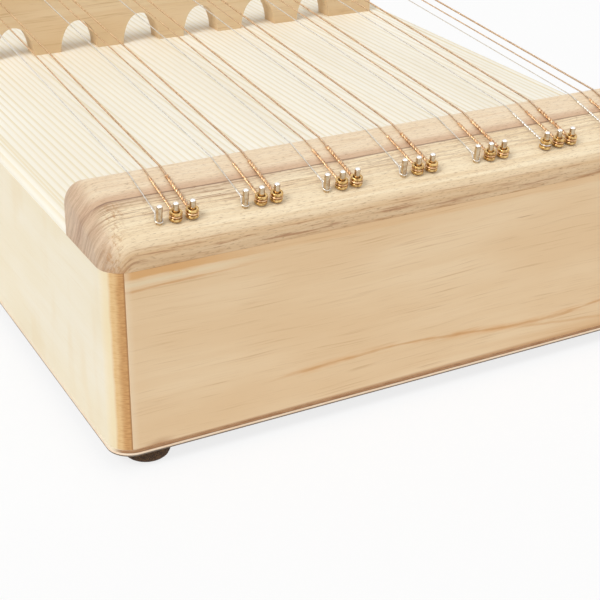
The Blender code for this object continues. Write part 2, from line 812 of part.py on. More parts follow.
def make_loop(number, x, thickness):
    """A wire loop round a hitch pin, longer than wide and slanting up to the back."""
    bpy.ops.mesh.primitive_torus_add(
        major_segments=RING_STEPS,
        minor_segments=6,
        major_radius=LOOP_WIDTH / 2,
        minor_radius=thickness / 2,
    )
    made = bpy.context.active_object
    mesh = made.data.copy()
    bpy.data.objects.remove(made)
    stretch = Matrix.Diagonal((1.0, LOOP_LENGTH / LOOP_WIDTH, 1.0, 1.0))
    mesh.transform(Matrix.Rotation(LOOP_TILT, 4, "X") @ stretch)
    loop = add_cutter(mesh, "wire_loop_" + number)
    loop.location = loop_middle(x)
    return loop


def make_strings():
    profile = bpy.data.meshes.new("ball_profile")
    points = ball_profile()
    edges = [(i, (i + 1) % len(points)) for i in range(len(points))]
    profile.from_pydata([(u, 0.0, v) for u, v in points], edges, [])
    gaps = []
    for index in range(COURSES * STRINGS_PER_COURSE):
        course, rank, x = place_string(index)
        number = "%02d" % (index + 1)
        path = string_path(index)
        gaps.append(least_self_gap(path))
        metal = "steel" if rank == 0 else "bronze"
        string = add_part(tube_mesh(path), "string_" + number, metal)
        if rank == 0 and course < LOOP_COURSES:
            combine(string, make_loop(number, x, STRING_DIAMETERS[rank]), "UNION")
        else:
            combine(string, make_ball(number, x, profile), "UNION")
    print("least gap of a coiled string to itself: %.2f mm" % (min(gaps) * 1000))
    if min(gaps) < LEAST_SELF_GAP:
        print("warning: a coil is closer to itself than it should be")


for old in list(bpy.data.objects):
    bpy.data.objects.remove(old)
PARTS = make_collection("string_tambourine")
CUTTERS = make_collection("cutters")
MATERIALS = make_materials()
make_tuning_bores()
make_box()
make_blocks()
make_soundboard()
make_braces()
make_rails()
make_bridge()
make_feet()
make_tuning_pins()
make_strings()
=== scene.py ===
# %% [markdown]
# # A string tambourine
# A string tambourine is a shallow box zither. Seven courses of three strings run from
# hitch pins in a sloping rail, over a bridge, to tuning pins at the far end. The packed
# model gives the frame in metres, and every piece below is built at its own place in it.

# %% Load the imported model
import json
import math

import bmesh
import bpy
from mathutils import Matrix, Vector, noise


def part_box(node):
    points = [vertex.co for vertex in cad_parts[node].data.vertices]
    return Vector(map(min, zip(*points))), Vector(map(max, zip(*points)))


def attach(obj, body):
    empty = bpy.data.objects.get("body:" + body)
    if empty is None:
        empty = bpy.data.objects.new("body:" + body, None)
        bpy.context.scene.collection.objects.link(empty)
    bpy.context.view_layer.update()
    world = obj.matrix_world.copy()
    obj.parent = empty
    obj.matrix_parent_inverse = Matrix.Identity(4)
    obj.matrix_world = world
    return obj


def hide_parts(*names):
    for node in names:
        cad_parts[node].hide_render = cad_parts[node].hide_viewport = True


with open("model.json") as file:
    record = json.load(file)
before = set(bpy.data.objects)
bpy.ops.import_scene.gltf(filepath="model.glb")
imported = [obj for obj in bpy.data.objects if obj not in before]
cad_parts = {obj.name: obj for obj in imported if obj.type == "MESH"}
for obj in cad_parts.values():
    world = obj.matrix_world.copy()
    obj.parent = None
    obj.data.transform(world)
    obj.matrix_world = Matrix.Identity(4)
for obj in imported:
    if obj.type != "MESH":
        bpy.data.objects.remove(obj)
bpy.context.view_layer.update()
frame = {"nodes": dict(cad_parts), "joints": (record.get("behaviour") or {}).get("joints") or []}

# %% [markdown]
# ## Sizes
# A dressed piece has to lie where its solid lies, so the levels are read from the solids'
# boxes. The rest are the maker's own sizes, in millimetres.

# %% Levels and sizes
MM = 0.001
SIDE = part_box("bottom_plate")[1].x
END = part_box("bottom_plate")[1].y
PLATE_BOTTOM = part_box("bottom_plate")[0].z
PLATE_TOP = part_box("bottom_plate")[1].z
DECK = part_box("soundboard")[0].z
SOUNDBOARD_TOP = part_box("soundboard")[1].z
BRIDGE_BOTTOM = SOUNDBOARD_TOP + 0.02 * MM
BRIDGE_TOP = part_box("bridge")[1].z

HAIRLINE = 0.02 * MM
CORNER_RADIUS = 8.5 * MM
BOARD = 6.0 * MM

COURSES = 7
STRINGS_PER_COURSE = 3
COUNT = COURSES * STRINGS_PER_COURSE
COURSE_PITCH = 29.4 * MM
STRING_PITCH = 5.55 * MM
STRING_SPAN = (COURSES - 1) * COURSE_PITCH + (STRINGS_PER_COURSE - 1) * STRING_PITCH
STRING_RADII = (0.2 * MM, 0.3 * MM, 0.4 * MM)
LOOP_COURSES = 5

RAIL_HEIGHT = 18.9 * MM
HITCH_DEPTH = 35.1 * MM
HITCH_SLOPE = math.radians(17.7)
TUNING_DEPTH = 52.0 * MM
TUNING_SLOPE = math.radians(11.0)
NOSE_RADIUS = 9.0 * MM
CREST_RADIUS = 3.0 * MM
RAIL_END_RADIUS = 6.0 * MM
print("Box half width %.1f mm, half length %.1f mm" % (SIDE / MM, END / MM))

# %% [markdown]
# ## Small tools
# Node trees, for shaders and for geometry, are written with one helper: a call makes a
# node, sets its options, and fills or links its inputs.

# %% Node helper
def add_node(tree, kind, settings=None, inputs=None):
    """One node of a tree. An input may be a value or another node's output."""
    made = tree.nodes.new(kind)
    for name, value in (settings or {}).items():
        setattr(made, name, value)
    for name, value in (inputs or {}).items():
        if isinstance(value, bpy.types.NodeSocket):
            tree.links.new(value, made.inputs[name])
        else:
            made.inputs[name].default_value = value
    return made


def srgb(colour):
    """Linear colour from the usual 0 to 255 values."""
    linear = []
    for value in colour:
        share = value / 255
        linear.append(share / 12.92 if share <= 0.04045 else ((share + 0.055) / 1.055) ** 2.4)
    return (*linear, 1.0)


# %% [markdown]
# ## Camera, floor and light
# The camera was found from the straight edges of the box, the pins and the places where
# the strings leave the rail. The long lens flattens the box as in the product photo. Two
# soft suns and a pale sky light everything evenly, and the left side a little more.

# %% Camera
EYE = Vector((-0.23867, -0.57224, 0.25318))
FORWARD = Vector((0.42444, 0.78354, -0.45378))
UP = Vector((0.20478, 0.40511, 0.89104))
camera = bpy.data.objects.new("camera", bpy.data.cameras.new("camera"))
bpy.context.scene.collection.objects.link(camera)
back = -FORWARD.normalized()
right = UP.cross(back).normalized()
up = back.cross(right)
camera.matrix_world = Matrix.Translation(EYE) @ Matrix((right, up, back)).transposed().to_4x4()
camera.data.sensor_width = 36
camera.data.lens = 82.06
camera.data.clip_start = 0.02
bpy.context.scene.camera = camera
bpy.context.scene.view_settings.view_transform = "Standard"
print("Camera at", [round(value, 3) for value in EYE])


# %% Suns and sky
def add_sun(name, towards, strength, angle):
    """A sun that shines from a direction, with soft shadows."""
    light = bpy.data.lights.new(name, "SUN")
    light.energy = strength
    light.angle = math.radians(angle)
    sun = bpy.data.objects.new(name, light)
    sun.rotation_mode = "QUATERNION"
    sun.rotation_quaternion = Vector(towards).to_track_quat("Z", "Y")
    bpy.context.scene.collection.objects.link(sun)


add_sun("key_sun", (-0.62, -0.25, 0.74), 1.45, 22)
add_sun("fill_sun", (0.25, -0.35, 0.9), 0.45, 60)

world = bpy.data.worlds.new("sky")
world.use_nodes = True
bpy.context.scene.world = world
sky = world.node_tree
sky.nodes.clear()
path = add_node(sky, "ShaderNodeLightPath")


def white_to(tree, path):
    """1 for the rays that should meet plain white: from the camera, and through gloss and glass."""
    shine = add_node(tree, "ShaderNodeMath", {"operation": "MAXIMUM"}, {
        0: path.outputs["Is Glossy Ray"], 1: path.outputs["Is Transmission Ray"]})
    seen = add_node(tree, "ShaderNodeMath", {"operation": "MAXIMUM"}, {
        0: path.outputs["Is Camera Ray"], 1: shine.outputs[0]})
    return seen.outputs[0]


strength = add_node(sky, "ShaderNodeMapRange", None, {
    "Value": white_to(sky, path), "To Min": 0.5, "To Max": 1.0})
sky_light = add_node(sky, "ShaderNodeBackground", None, {"Strength": strength.outputs[0]})
sky_light.inputs["Color"].default_value = (1.0, 1.0, 1.0, 1.0)
add_node(sky, "ShaderNodeOutputWorld", None, {"Surface": sky_light.outputs[0]})

# %% Floor
REACH = 6.0
floor_mesh = bpy.data.meshes.new("floor")
floor_mesh.from_pydata(
    [(-REACH, -REACH, 0), (REACH, -REACH, 0), (REACH, REACH, 0), (-REACH, REACH, 0)],
    [],
    [(0, 1, 2, 3)],
)
floor = bpy.data.objects.new("floor", floor_mesh)
bpy.context.scene.collection.objects.link(floor)
floor_paint = bpy.data.materials.new("white_floor")
floor_paint.use_nodes = True
tree = floor_paint.node_tree
tree.nodes.clear()
lit = add_node(tree, "ShaderNodeBsdfDiffuse", None, {"Color": (0.9, 0.9, 0.9, 1.0)})
bright = add_node(tree, "ShaderNodeEmission", None, {"Strength": 1.0})
share = add_node(tree, "ShaderNodeMapRange", None, {
    "Value": white_to(tree, add_node(tree, "ShaderNodeLightPath")), "To Min": 0.0, "To Max": 0.8})
floor_mix = add_node(tree, "ShaderNodeMixShader", None, {
    0: share.outputs[0], 1: lit.outputs[0], 2: bright.outputs[0]})
add_node(tree, "ShaderNodeOutputMaterial", None, {"Surface": floor_mix.outputs[0]})
floor_mesh.materials.append(floor_paint)
print("Floor at z = 0")

# %% [markdown]
# ## A paint box
# Every finish is a pattern in the object's own millimetres. This class keeps the position
# at hand and offers noises, soft steps and mixes, so that a wood can be written as a few
# lines that read like a description of it.

# %% Paint class
class Paint:
    """A material in the making."""

    def __init__(self, name):
        self.material = bpy.data.materials.new(name)
        self.material.use_nodes = True
        self.tree = self.material.node_tree
        self.shader = self.tree.nodes["Principled BSDF"]
        place = add_node(self.tree, "ShaderNodeTexCoord").outputs["Object"]
        scaled = add_node(self.tree, "ShaderNodeVectorMath", {"operation": "SCALE"}, {
            0: place, "Scale": 1000.0})
        self.place = scaled.outputs[0]
        parts = add_node(self.tree, "ShaderNodeSeparateXYZ", None, {0: self.place})
        self.x, self.y, self.z = parts.outputs

    def math(self, operation, first, second=0.0, third=0.0):
        made = add_node(self.tree, "ShaderNodeMath", {"operation": operation}, {
            0: first, 1: second, 2: third})
        return made.outputs[0]

    def noise(self, scale, detail=2.0, roughness=0.5, seed=0.0, place=None):
        """Noise from 0 to 1, with its features per millimetre along each axis."""
        stretched = add_node(self.tree, "ShaderNodeVectorMath", {"operation": "MULTIPLY_ADD"}, {
            0: place or self.place, 1: scale, 2: (seed, seed * 1.7, -seed)})
        made = add_node(self.tree, "ShaderNodeTexNoise", None, {
            "Vector": stretched.outputs[0],
            "Scale": 1.0,
            "Detail": detail,
            "Roughness": roughness,
        })
        return made.outputs["Fac"]

    def step(self, value, low, high):
        """0 below low and 1 above high, with a smooth change between. Low may be the larger."""
        made = add_node(self.tree, "ShaderNodeMapRange", {"interpolation_type": "SMOOTHSTEP"}, {
            "Value": value, "From Min": low, "From Max": high})
        return made.outputs[0]

    def peak(self, value, centre, width):
        """1 at the centre, falling to 0 a width away."""
        away = self.math("ABSOLUTE", self.math("SUBTRACT", value, centre))
        return self.step(away, width, 0.0)

    def times(self, *values):
        product = values[0]
        for value in values[1:]:
            product = self.math("MULTIPLY", product, value)
        return product

    def mix(self, factor, first, second):
        """A mix of two colours, each a node's output or sRGB numbers."""
        sides = [side if isinstance(side, bpy.types.NodeSocket) else srgb(side)
                 for side in (first, second)]
        made = add_node(self.tree, "ShaderNodeMix", {"data_type": "RGBA"}, {
            0: factor, 6: sides[0], 7: sides[1]})
        return made.outputs[2]

    def bump(self, height, depth):
        """Relief on the surface, with its depth in metres."""
        made = add_node(self.tree, "ShaderNodeBump", None, {
            "Height": height, "Distance": depth, "Strength": 1.0})
        self.tree.links.new(made.outputs[0], self.shader.inputs["Normal"])

    def set(self, name, value):
        if isinstance(value, bpy.types.NodeSocket):
            self.tree.links.new(value, self.shader.inputs[name])
        else:
            self.shader.inputs[name].default_value = value

    def between(self, factor, low, high):
        """A number that goes from low to high with a factor."""
        made = add_node(self.tree, "ShaderNodeMapRange", None, {
            "Value": factor, "To Min": low, "To Max": high})
        return made.outputs[0]


# %% [markdown]
# ## Maple
# The four boards of the frame are pale maple. Its face grain is a set of faint, long and
# slightly wavy lines, each broken into dashes. So that they waver, the height is bent by
# a slow noise first, and every other pattern is then read at the bent place.

# %% Maple face grain
def make_maple(name, along, pale, warm, line, strength):
    """Maple with its grain along an axis, 0 for X and 1 for Y."""
    paint = Paint(name)
    run = (paint.x, paint.y)[along]
    across = (paint.y, paint.x)[along]
    waver = paint.noise([0.014 if axis == along else 0.03 for axis in range(3)], 2.0, 0.5, 4.0)
    bent = paint.math("MULTIPLY_ADD", waver, 5.0, paint.z)
    grain = add_node(paint.tree, "ShaderNodeCombineXYZ", None, {0: run, 1: across, 2: bent})
    grain = grain.outputs[0]
    clouds = paint.noise((0.014, 0.03, 0.05), 2.0, 0.5, 3.1, grain)
    bands = paint.noise((0.006, 0.2, 0.3), 2.0, 0.5, 7.7, grain)
    lines = paint.noise((0.028, 0.6, 1.7), 3.0, 0.6, 1.3, grain)
    fine = paint.noise((0.09, 2.0, 3.4), 2.0, 0.6, 9.1, grain)
    gaps = paint.noise((0.06, 0.2, 0.35), 1.0, 0.5, 2.2, grain)
    colour = paint.mix(paint.step(clouds, 0.32, 0.68), pale, warm)
    colour = paint.mix(paint.times(paint.step(bands, 0.42, 0.7), strength), colour, warm)
    dashes = paint.times(paint.step(lines, 0.52, 0.72), paint.step(gaps, 0.34, 0.66), strength)
    colour = paint.mix(dashes, colour, line)
    colour = paint.mix(paint.times(paint.step(fine, 0.58, 0.76), 0.4, strength), colour, line)
    paint.set("Roughness", paint.between(fine, 0.42, 0.6))
    paint.bump(fine, 0.00002)
    return paint, colour, grain


paint, colour, grain = make_maple(
    "maple_bridge", 0, (231, 205, 166), (222, 190, 146), (196, 158, 112), 0.8)
paint.set("Base Color", colour)
MAPLE_BRIDGE = paint.material
print("Maple for the bridge")

# %% [markdown]
# ## Maple of the side boards
# The side boards run through to the corners, so at the rounded corner the blade cuts
# across their fibres. End grain soaks up more oil: first straw yellow, then orange, with
# fine level flecks, and darkest at the joint. The face itself is cream with soft upright
# blotches. Its cream is paler than the front board's maple: partly the wood's own tone,
# partly painted light, as the key sun lights the left side more.

# %% Side boards
# Paler than the front board's maple: partly the wood's tone, partly painted light
paint, colour, grain = make_maple(
    "maple_side", 1, (246, 236, 213), (243, 230, 200), (232, 212, 172), 0.3)
blotches = paint.noise((0.05, 0.055, 0.02), 2.0, 0.5, 6.0)
colour = paint.mix(paint.times(paint.step(blotches, 0.52, 0.7), 0.5), colour, (240, 222, 186))
from_end = paint.math("SUBTRACT", END / MM, paint.math("ABSOLUTE", paint.y))
ragged = paint.noise((0.3, 0.3, 0.12), 2.0, 0.5, 8.0)
edge = paint.math("MULTIPLY_ADD", ragged, 0.8, from_end)
flecks = paint.noise((0.4, 0.4, 2.6), 3.0, 0.6, 5.0)
straw = paint.mix(paint.step(flecks, 0.4, 0.7), (230, 192, 136), (220, 176, 118))
orange = paint.mix(paint.step(flecks, 0.36, 0.66), (212, 162, 102), (192, 138, 80))
colour = paint.mix(paint.times(paint.step(edge, 8.5, 4.0), 0.55), colour, (240, 216, 164))
colour = paint.mix(paint.step(edge, 4.2, 3.0), colour, straw)
colour = paint.mix(paint.step(edge, 2.6, 1.4), colour, orange)
colour = paint.mix(paint.times(paint.step(from_end, 0.62, 0.4), 0.6), colour, (160, 108, 62))
paint.set("Base Color", colour)
MAPLE_SIDE = paint.material
print("Side boards: orange end grain in the last 3 mm")

# %% [markdown]
# ## Maple of the front board
# The front board is a flat-sawn plank. A flame streak wanders along it, low down: level at
# first, then sinking, then rising again to the right, with a second one leaving below it.
# Both glued edges are darker: the top one orange towards the left, the lower one brown,
# deepest at its bottom. Near the upper left there is a pale stripe and a thin
# orange line under it. The streaks' heights are curves through a few points.

# %% Front board
def height_curve(paint, run, length, top, points):
    """A height in millimetres that follows points along a run."""
    share = paint.math("DIVIDE", run, length)
    made = add_node(paint.tree, "ShaderNodeFloatCurve", None, {"Value": share})
    curve = made.mapping.curves[0]
    curve.points[0].location = (0.0, points[0][1] / top)
    curve.points[1].location = (1.0, points[-1][1] / top)
    for place, height in points[1:-1]:
        curve.points.new(place / length, height / top)
    made.mapping.update()
    return paint.math("MULTIPLY", made.outputs[0], top)


FLAME = ((0, 10.0), (60, 13.2), (104, 14.2), (134, 12.1), (166, 9.5), (196, 11.2), (228.7, 15.0))
# Darker and warmer than the side boards' maple: partly the wood's tone, partly painted shade
paint, colour, grain = make_maple(
    "maple_end", 0, (240, 212, 172), (233, 200, 156), (206, 166, 120), 0.6)
run = paint.math("ADD", paint.x, SIDE / MM)
height = paint.math("SUBTRACT", paint.z, PLATE_TOP / MM)
tear = paint.noise((0.05, 0.0, 0.5), 3.0, 0.65, 2.0)
shaken = paint.math("MULTIPLY_ADD", tear, 2.4, paint.math("SUBTRACT", height, 1.2))
flame_height = height_curve(paint, run, 228.7, 20.0, FLAME)
blots = paint.noise((0.05, 0.0, 0.3), 3.0, 0.6, 12.0)
starts = paint.step(run, 46.0, 82.0)
glow = paint.times(paint.peak(shaken, flame_height, 2.6), starts, paint.step(blots, 0.38, 0.66), 0.7)
core = paint.times(paint.peak(shaken, flame_height, 0.8), starts, paint.between(blots, 0.1, 1.2))
second = paint.math("MULTIPLY_ADD", run, -0.124, 28.6)
branch = paint.times(paint.peak(shaken, second, 1.0), paint.step(run, 146.0, 172.0), 0.5)
colour = paint.mix(glow, colour, (224, 172, 114))
colour = paint.mix(core, colour, (208, 154, 96))
colour = paint.mix(branch, colour, (212, 162, 106))
fade = paint.step(run, 64.0, 20.0)
edge_line = paint.math("MULTIPLY_ADD", run, 0.02, 56.9)
upper = paint.times(paint.step(shaken, 60.4, 61.6), paint.between(fade, 0.25, 0.85))
stripe = paint.times(paint.peak(shaken, 59.4, 1.3), fade, 0.6)
thin = paint.times(paint.peak(shaken, edge_line, 0.7), paint.between(fade, 0.0, 0.7))
colour = paint.mix(stripe, colour, (236, 218, 184))
colour = paint.mix(thin, colour, (210, 156, 100))
colour = paint.mix(upper, colour, (220, 166, 102))
# The lower edge goes brown, deepest at its bottom and wider to the right
low_reach = paint.math("MULTIPLY_ADD", run, 0.006, 0.4)
low = paint.step(paint.math("DIVIDE", height, low_reach), 1.3, 0.1)
colour = paint.mix(paint.times(low, 0.8), colour, (182, 128, 82))
smudge = paint.times(paint.peak(run, 15.0, 7.0), paint.step(shaken, 3.0, 0.3), 0.6)
colour = paint.mix(smudge, colour, (178, 122, 72))
warm_low = paint.times(paint.step(shaken, 9.0, 0.0), paint.step(run, 120.0, 200.0), 0.6)
colour = paint.mix(warm_low, colour, (222, 176, 122))
pale = paint.times(paint.peak(run, 6.4, 2.2), 0.5)
colour = paint.mix(pale, colour, (232, 208, 174))
dash = paint.times(paint.peak(shaken, 53.2, 0.4), paint.peak(run, 156.5, 5.5), 0.8)
colour = paint.mix(dash, colour, (176, 130, 92))
paint.set("Base Color", colour)
MAPLE_END = paint.material
print("Front board with a flame from %.0f to %.0f mm up" % (FLAME[4][1], FLAME[2][1]))

# %% [markdown]
# ## Spruce
# A soundboard is split from spruce so that the year rings stand upright. From above they
# are straight lines along the strings, two to four millimetres apart: wide whitish wood
# that darkens slowly to a straw-coloured line and stops there. The fraction of X over the
# ring width gives that saw-tooth, and a slow noise added to X makes the widths uneven.

# %% Spruce of the soundboard
RING_WIDTH = 2.75
paint = Paint("spruce")
sway = paint.noise((0.035, 0.0009, 0.03), 2.0, 0.5, 4.0)
drift = paint.noise((0.01, 0.002, 0.01), 1.0, 0.5, 9.0)
across = paint.math("MULTIPLY_ADD", sway, 7.0, paint.math("MULTIPLY_ADD", drift, 5.0, paint.x))
turn = paint.math("FRACT", paint.math("DIVIDE", across, RING_WIDTH))
late = paint.times(paint.step(turn, 0.42, 0.86), paint.step(turn, 1.0, 0.9))
level = add_node(paint.tree, "ShaderNodeCombineXYZ", None, {0: across, 2: paint.z})
strong = paint.noise((0.3, 0.0, 0.02), 1.0, 0.5, 3.0, level.outputs[0])
rings = paint.times(late, paint.between(strong, 0.2, 1.5))
silk = paint.noise((1.4, 0.04, 1.4), 2.0, 0.6, 6.0)
clouds = paint.noise((0.03, 0.006, 0.03), 2.0, 0.5, 1.0)
colour = paint.mix(paint.step(clouds, 0.35, 0.65), (255, 250, 236), (252, 245, 228))
colour = paint.mix(paint.times(rings, 0.75), colour, (234, 219, 180))
colour = paint.mix(paint.times(paint.step(silk, 0.55, 0.8), 0.25), colour, (244, 236, 212))
from_side = paint.math("SUBTRACT", SIDE / MM, paint.math("ABSOLUTE", paint.x))
first = paint.times(paint.peak(from_side, 4.9, 0.8), 0.55)
colour = paint.mix(first, colour, (232, 210, 156))
paint.set("Base Color", colour)
paint.set("Roughness", paint.between(silk, 0.5, 0.62))
paint.bump(rings, 0.00003)
SPRUCE = paint.material
print("Spruce with year rings %.1f mm apart" % RING_WIDTH)

# %% [markdown]
# ## Walnut
# The rails are pale walnut. The year rings lean back through the wood, so their place is
# measured along a line that rises with Y and Z, and a ring that crosses the top runs down
# over the rounded end by itself. One pinkish stripe with a dark line at its front edge is
# the ring that catches the eye. In front of it come grey-brown streaks, then pale wood,
# and the big round nose is darker again: brown streaks of grain, and painted shade where
# the nose turns down from the light. Pores are short dashes along the grain, and the
# round end shows them as specks, with an orange figure where the top turns over.

# %% Walnut of the rails
def make_walnut(name, facing):
    """Walnut for the hitch rail, facing 1, or the tuning rail, facing -1."""
    paint = Paint(name)
    seed = 3.0 * facing
    from_face = paint.math("MULTIPLY_ADD", paint.y, facing, END / MM)
    height = paint.math("SUBTRACT", paint.z, DECK / MM)
    from_side = paint.math("SUBTRACT", SIDE / MM, paint.math("ABSOLUTE", paint.x))
    over = paint.step(from_side, 10.0, 0.0)
    sway = paint.noise((0.01, 0.03, 0.03), 2.0, 0.5, 5.0 + seed)
    bent = paint.math("MULTIPLY_ADD", sway, 3.0, paint.math("SUBTRACT", from_face, 1.5))
    bent = paint.math("MULTIPLY_ADD", over, 3.0, bent)
    ring = paint.math("MULTIPLY_ADD", height, 0.6, bent)
    flat = add_node(paint.tree, "ShaderNodeCombineXYZ", None, {0: paint.x, 1: ring})
    flat = flat.outputs[0]
    streaks = paint.noise((0.012, 0.5, 0.0), 3.0, 0.65, 1.0 + seed, flat)
    lines = paint.noise((0.05, 1.25, 0.0), 3.0, 0.65, 8.0 + seed, flat)
    hairs = paint.noise((0.12, 2.8, 0.0), 2.0, 0.6, 6.0 + seed, flat)
    pores = paint.noise((0.4, 3.6, 0.0), 2.0, 0.6, 3.0 + seed, flat)
    colour = paint.mix(paint.step(streaks, 0.36, 0.66), (249, 231, 197), (236, 211, 172))
    back_zone = paint.step(ring, 29.0, 31.0)
    colour = paint.mix(paint.times(back_zone, 0.5), colour, (232, 204, 172))
    glow = paint.times(back_zone, paint.step(lines, 0.42, 0.62), 0.6)
    colour = paint.mix(glow, colour, (246, 228, 200))
    stripe = paint.times(paint.step(ring, 29.0, 29.6), paint.step(ring, 34.5, 30.5))
    colour = paint.mix(paint.times(stripe, 0.75), colour, (208, 168, 134))
    busy = paint.times(paint.step(ring, 15.0, 21.0), paint.step(ring, 30.0, 28.6))
    left = paint.step(paint.x, 0.0, -90.0)
    shade = paint.times(paint.step(ring, 23.0, 28.5), paint.step(ring, 29.6, 29.2), left, 0.55)
    colour = paint.mix(shade, colour, (196, 164, 134))
    zebra = paint.times(busy, paint.step(lines, 0.5, 0.62), paint.between(left, 0.45, 0.9))
    colour = paint.mix(zebra, colour, (178, 140, 108))
    fine = paint.times(paint.step(hairs, 0.54, 0.7), paint.between(busy, 0.22, 0.5))
    colour = paint.mix(fine, colour, (176, 138, 102))
    # Darker nose: streaky grain, and painted shade where the round nose turns from the light
    nose = paint.times(paint.step(ring, 8.5, 3.0), paint.between(streaks, 0.4, 1.1))
    colour = paint.mix(nose, colour, (212, 174, 128))
    brown = paint.times(paint.step(ring, 6.5, 3.0), paint.step(lines, 0.5, 0.66), 0.75)
    colour = paint.mix(brown, colour, (172, 122, 82))
    seam = paint.times(paint.step(height, 2.2, 0.3), paint.step(lines, 0.36, 0.6), 0.5)
    colour = paint.mix(seam, colour, (190, 138, 84))
    edge = paint.math("MULTIPLY_ADD", lines, 0.5, ring)
    colour = paint.mix(paint.times(paint.peak(edge, 29.4, 0.55), 0.85), colour, (128, 88, 66))
    dots = paint.times(paint.step(pores, 0.56, 0.68), paint.between(busy, 0.55, 0.7))
    colour = paint.mix(dots, colour, (158, 118, 80))
    tip = paint.step(from_side, 7.0, 1.5)
    shell = paint.math("MULTIPLY_ADD", over, 6.0, ring)
    arcs = add_node(paint.tree, "ShaderNodeCombineXYZ", None, {0: shell, 1: height})
    arcs = paint.noise((0.55, 0.05, 0.0), 4.0, 0.75, 4.0 + seed, arcs.outputs[0])
    specks = paint.noise((2.4, 2.4, 1.4), 2.0, 0.6, 7.0 + seed)
    tip_colour = paint.mix(paint.step(arcs, 0.3, 0.7), (214, 184, 154), (170, 132, 102))
    tip_colour = paint.mix(paint.times(paint.step(specks, 0.54, 0.7), 0.4), tip_colour,
                           (150, 112, 86))
    colour = paint.mix(paint.times(tip, 0.8), colour, tip_colour)
    knots = paint.noise((0.8, 0.6, 0.6), 4.0, 0.75, 13.0)
    ridge = paint.math("SUBTRACT", from_side, paint.times(paint.step(ring, 4.0, 28.0), 6.0))
    figure = paint.times(paint.peak(ridge, 3.6, 5.5), paint.step(knots, 0.46, 0.64), 0.62)
    figure = paint.times(figure, paint.step(ring, 29.0, 27.5), paint.step(paint.x, 0.0, -9.0))
    colour = paint.mix(figure, colour, (184, 130, 72))
    paint.set("Base Color", colour)
    paint.set("Roughness", paint.between(pores, 0.4, 0.58))
    paint.bump(paint.math("SUBTRACT", 1.0, paint.step(pores, 0.58, 0.76)), 0.00004)
    return paint.material


WALNUT_HITCH = make_walnut("walnut_hitch_rail", 1)
WALNUT_TUNING = make_walnut("walnut_tuning_rail", -1)
print("Walnut for both rails")

# %% [markdown]
# ## Plywood, beech and the feet
# The bottom plate is thin plywood of two crossed plies over a thin grey-brown lower face,
# which is darkened further as painted shade under the rounded lower edge.
# The fibres of the upper ply run from front to back, so it shows brown end grain at the
# front and pale wood along the sides. The normal of the surface tells the two apart.
# Beech fills the blocks inside. The feet are dark brown pressed fibre, mottled and matt.

# %% Plywood, beech and foot
paint = Paint("plywood")
height = paint.math("SUBTRACT", paint.z, PLATE_BOTTOM / MM)
fibre = paint.noise((0.25, 0.25, 1.6), 3.0, 0.6, 2.0)
facing = add_node(paint.tree, "ShaderNodeSeparateXYZ", None, {
    0: add_node(paint.tree, "ShaderNodeNewGeometry").outputs["Normal"]})
to_front = paint.step(paint.math("ABSOLUTE", facing.outputs["Y"]), 0.35, 0.8)
end_ply = paint.mix(paint.step(fibre, 0.35, 0.7), (184, 140, 98), (160, 114, 74))
end_ply = paint.mix(paint.peak(height, 1.4, 0.4), end_ply, (144, 100, 62))
long_ply = paint.mix(paint.step(fibre, 0.35, 0.7), (247, 234, 208), (243, 226, 194))
upper_ply = paint.mix(to_front, long_ply, end_ply)
lower_ply = paint.mix(paint.step(fibre, 0.35, 0.7), (252, 230, 204), (246, 214, 180))
colour = paint.mix(paint.step(height, 1.3, 1.42), lower_ply, upper_ply)
# Lowest 0.6 mm grey-brown: the lower ply, plus painted shade under the rounded edge
colour = paint.mix(paint.step(height, 0.66, 0.52), colour, (124, 108, 92))
paint.set("Base Color", colour)
paint.set("Roughness", paint.between(fibre, 0.5, 0.65))
PLYWOOD = paint.material

paint = Paint("beech")
rays = paint.noise((0.08, 0.9, 0.9), 3.0, 0.6, 1.0)
specks = paint.noise((0.6, 2.6, 2.6), 2.0, 0.6, 7.0)
colour = paint.mix(paint.step(rays, 0.35, 0.7), (216, 178, 134), (196, 154, 108))
colour = paint.mix(paint.times(paint.step(specks, 0.6, 0.74), 0.5), colour, (160, 112, 72))
paint.set("Base Color", colour)
paint.set("Roughness", paint.between(rays, 0.55, 0.7))
BEECH = paint.material

paint = Paint("pressed_fibre")
clumps = paint.noise((0.7, 0.7, 0.9), 4.0, 0.7, 2.0)
strands = paint.noise((2.6, 1.4, 3.0), 3.0, 0.7, 8.0)
colour = paint.mix(paint.step(clumps, 0.35, 0.68), (50, 32, 18), (92, 64, 38))
colour = paint.mix(paint.times(paint.step(strands, 0.55, 0.68), 0.8), colour, (152, 112, 66))
paint.set("Base Color", colour)
paint.set("Roughness", paint.between(clumps, 0.75, 0.92))
paint.bump(strands, 0.0002)
PRESSED_FIBRE = paint.material
print("Plywood, beech and pressed fibre")

# %% [markdown]
# ## Metals
# Drawn wire, plated pins and turned brass are never even: fine scratches change the gloss
# and handling stains change the colour; the brass's dark stains also stand for dark spots
# that it reflects, a painted reflection. Metallic stays at 1 on the shader's own socket.
# The pins' sides are painted a warm tan, a painted reflection of the wood around them,
# and their upward faces are painted near white, a painted highlight, so the colour follows
# the way that the surface faces.

# %% Metals
def make_metal(name, bright, dull, low, high, scale):
    """A metal with stains and fine scratches, at a scale per millimetre."""
    paint = Paint(name)
    stains = paint.noise((scale, scale, scale), 3.0, 0.6, 2.0)
    scratches = paint.noise((scale * 3, scale * 3, scale), 2.0, 0.6, 9.0)
    colour = paint.mix(paint.step(stains, 0.38, 0.7), bright, dull)
    paint.set("Roughness", paint.between(scratches, low, high))
    paint.set("Metallic", 1.0)
    return paint, colour
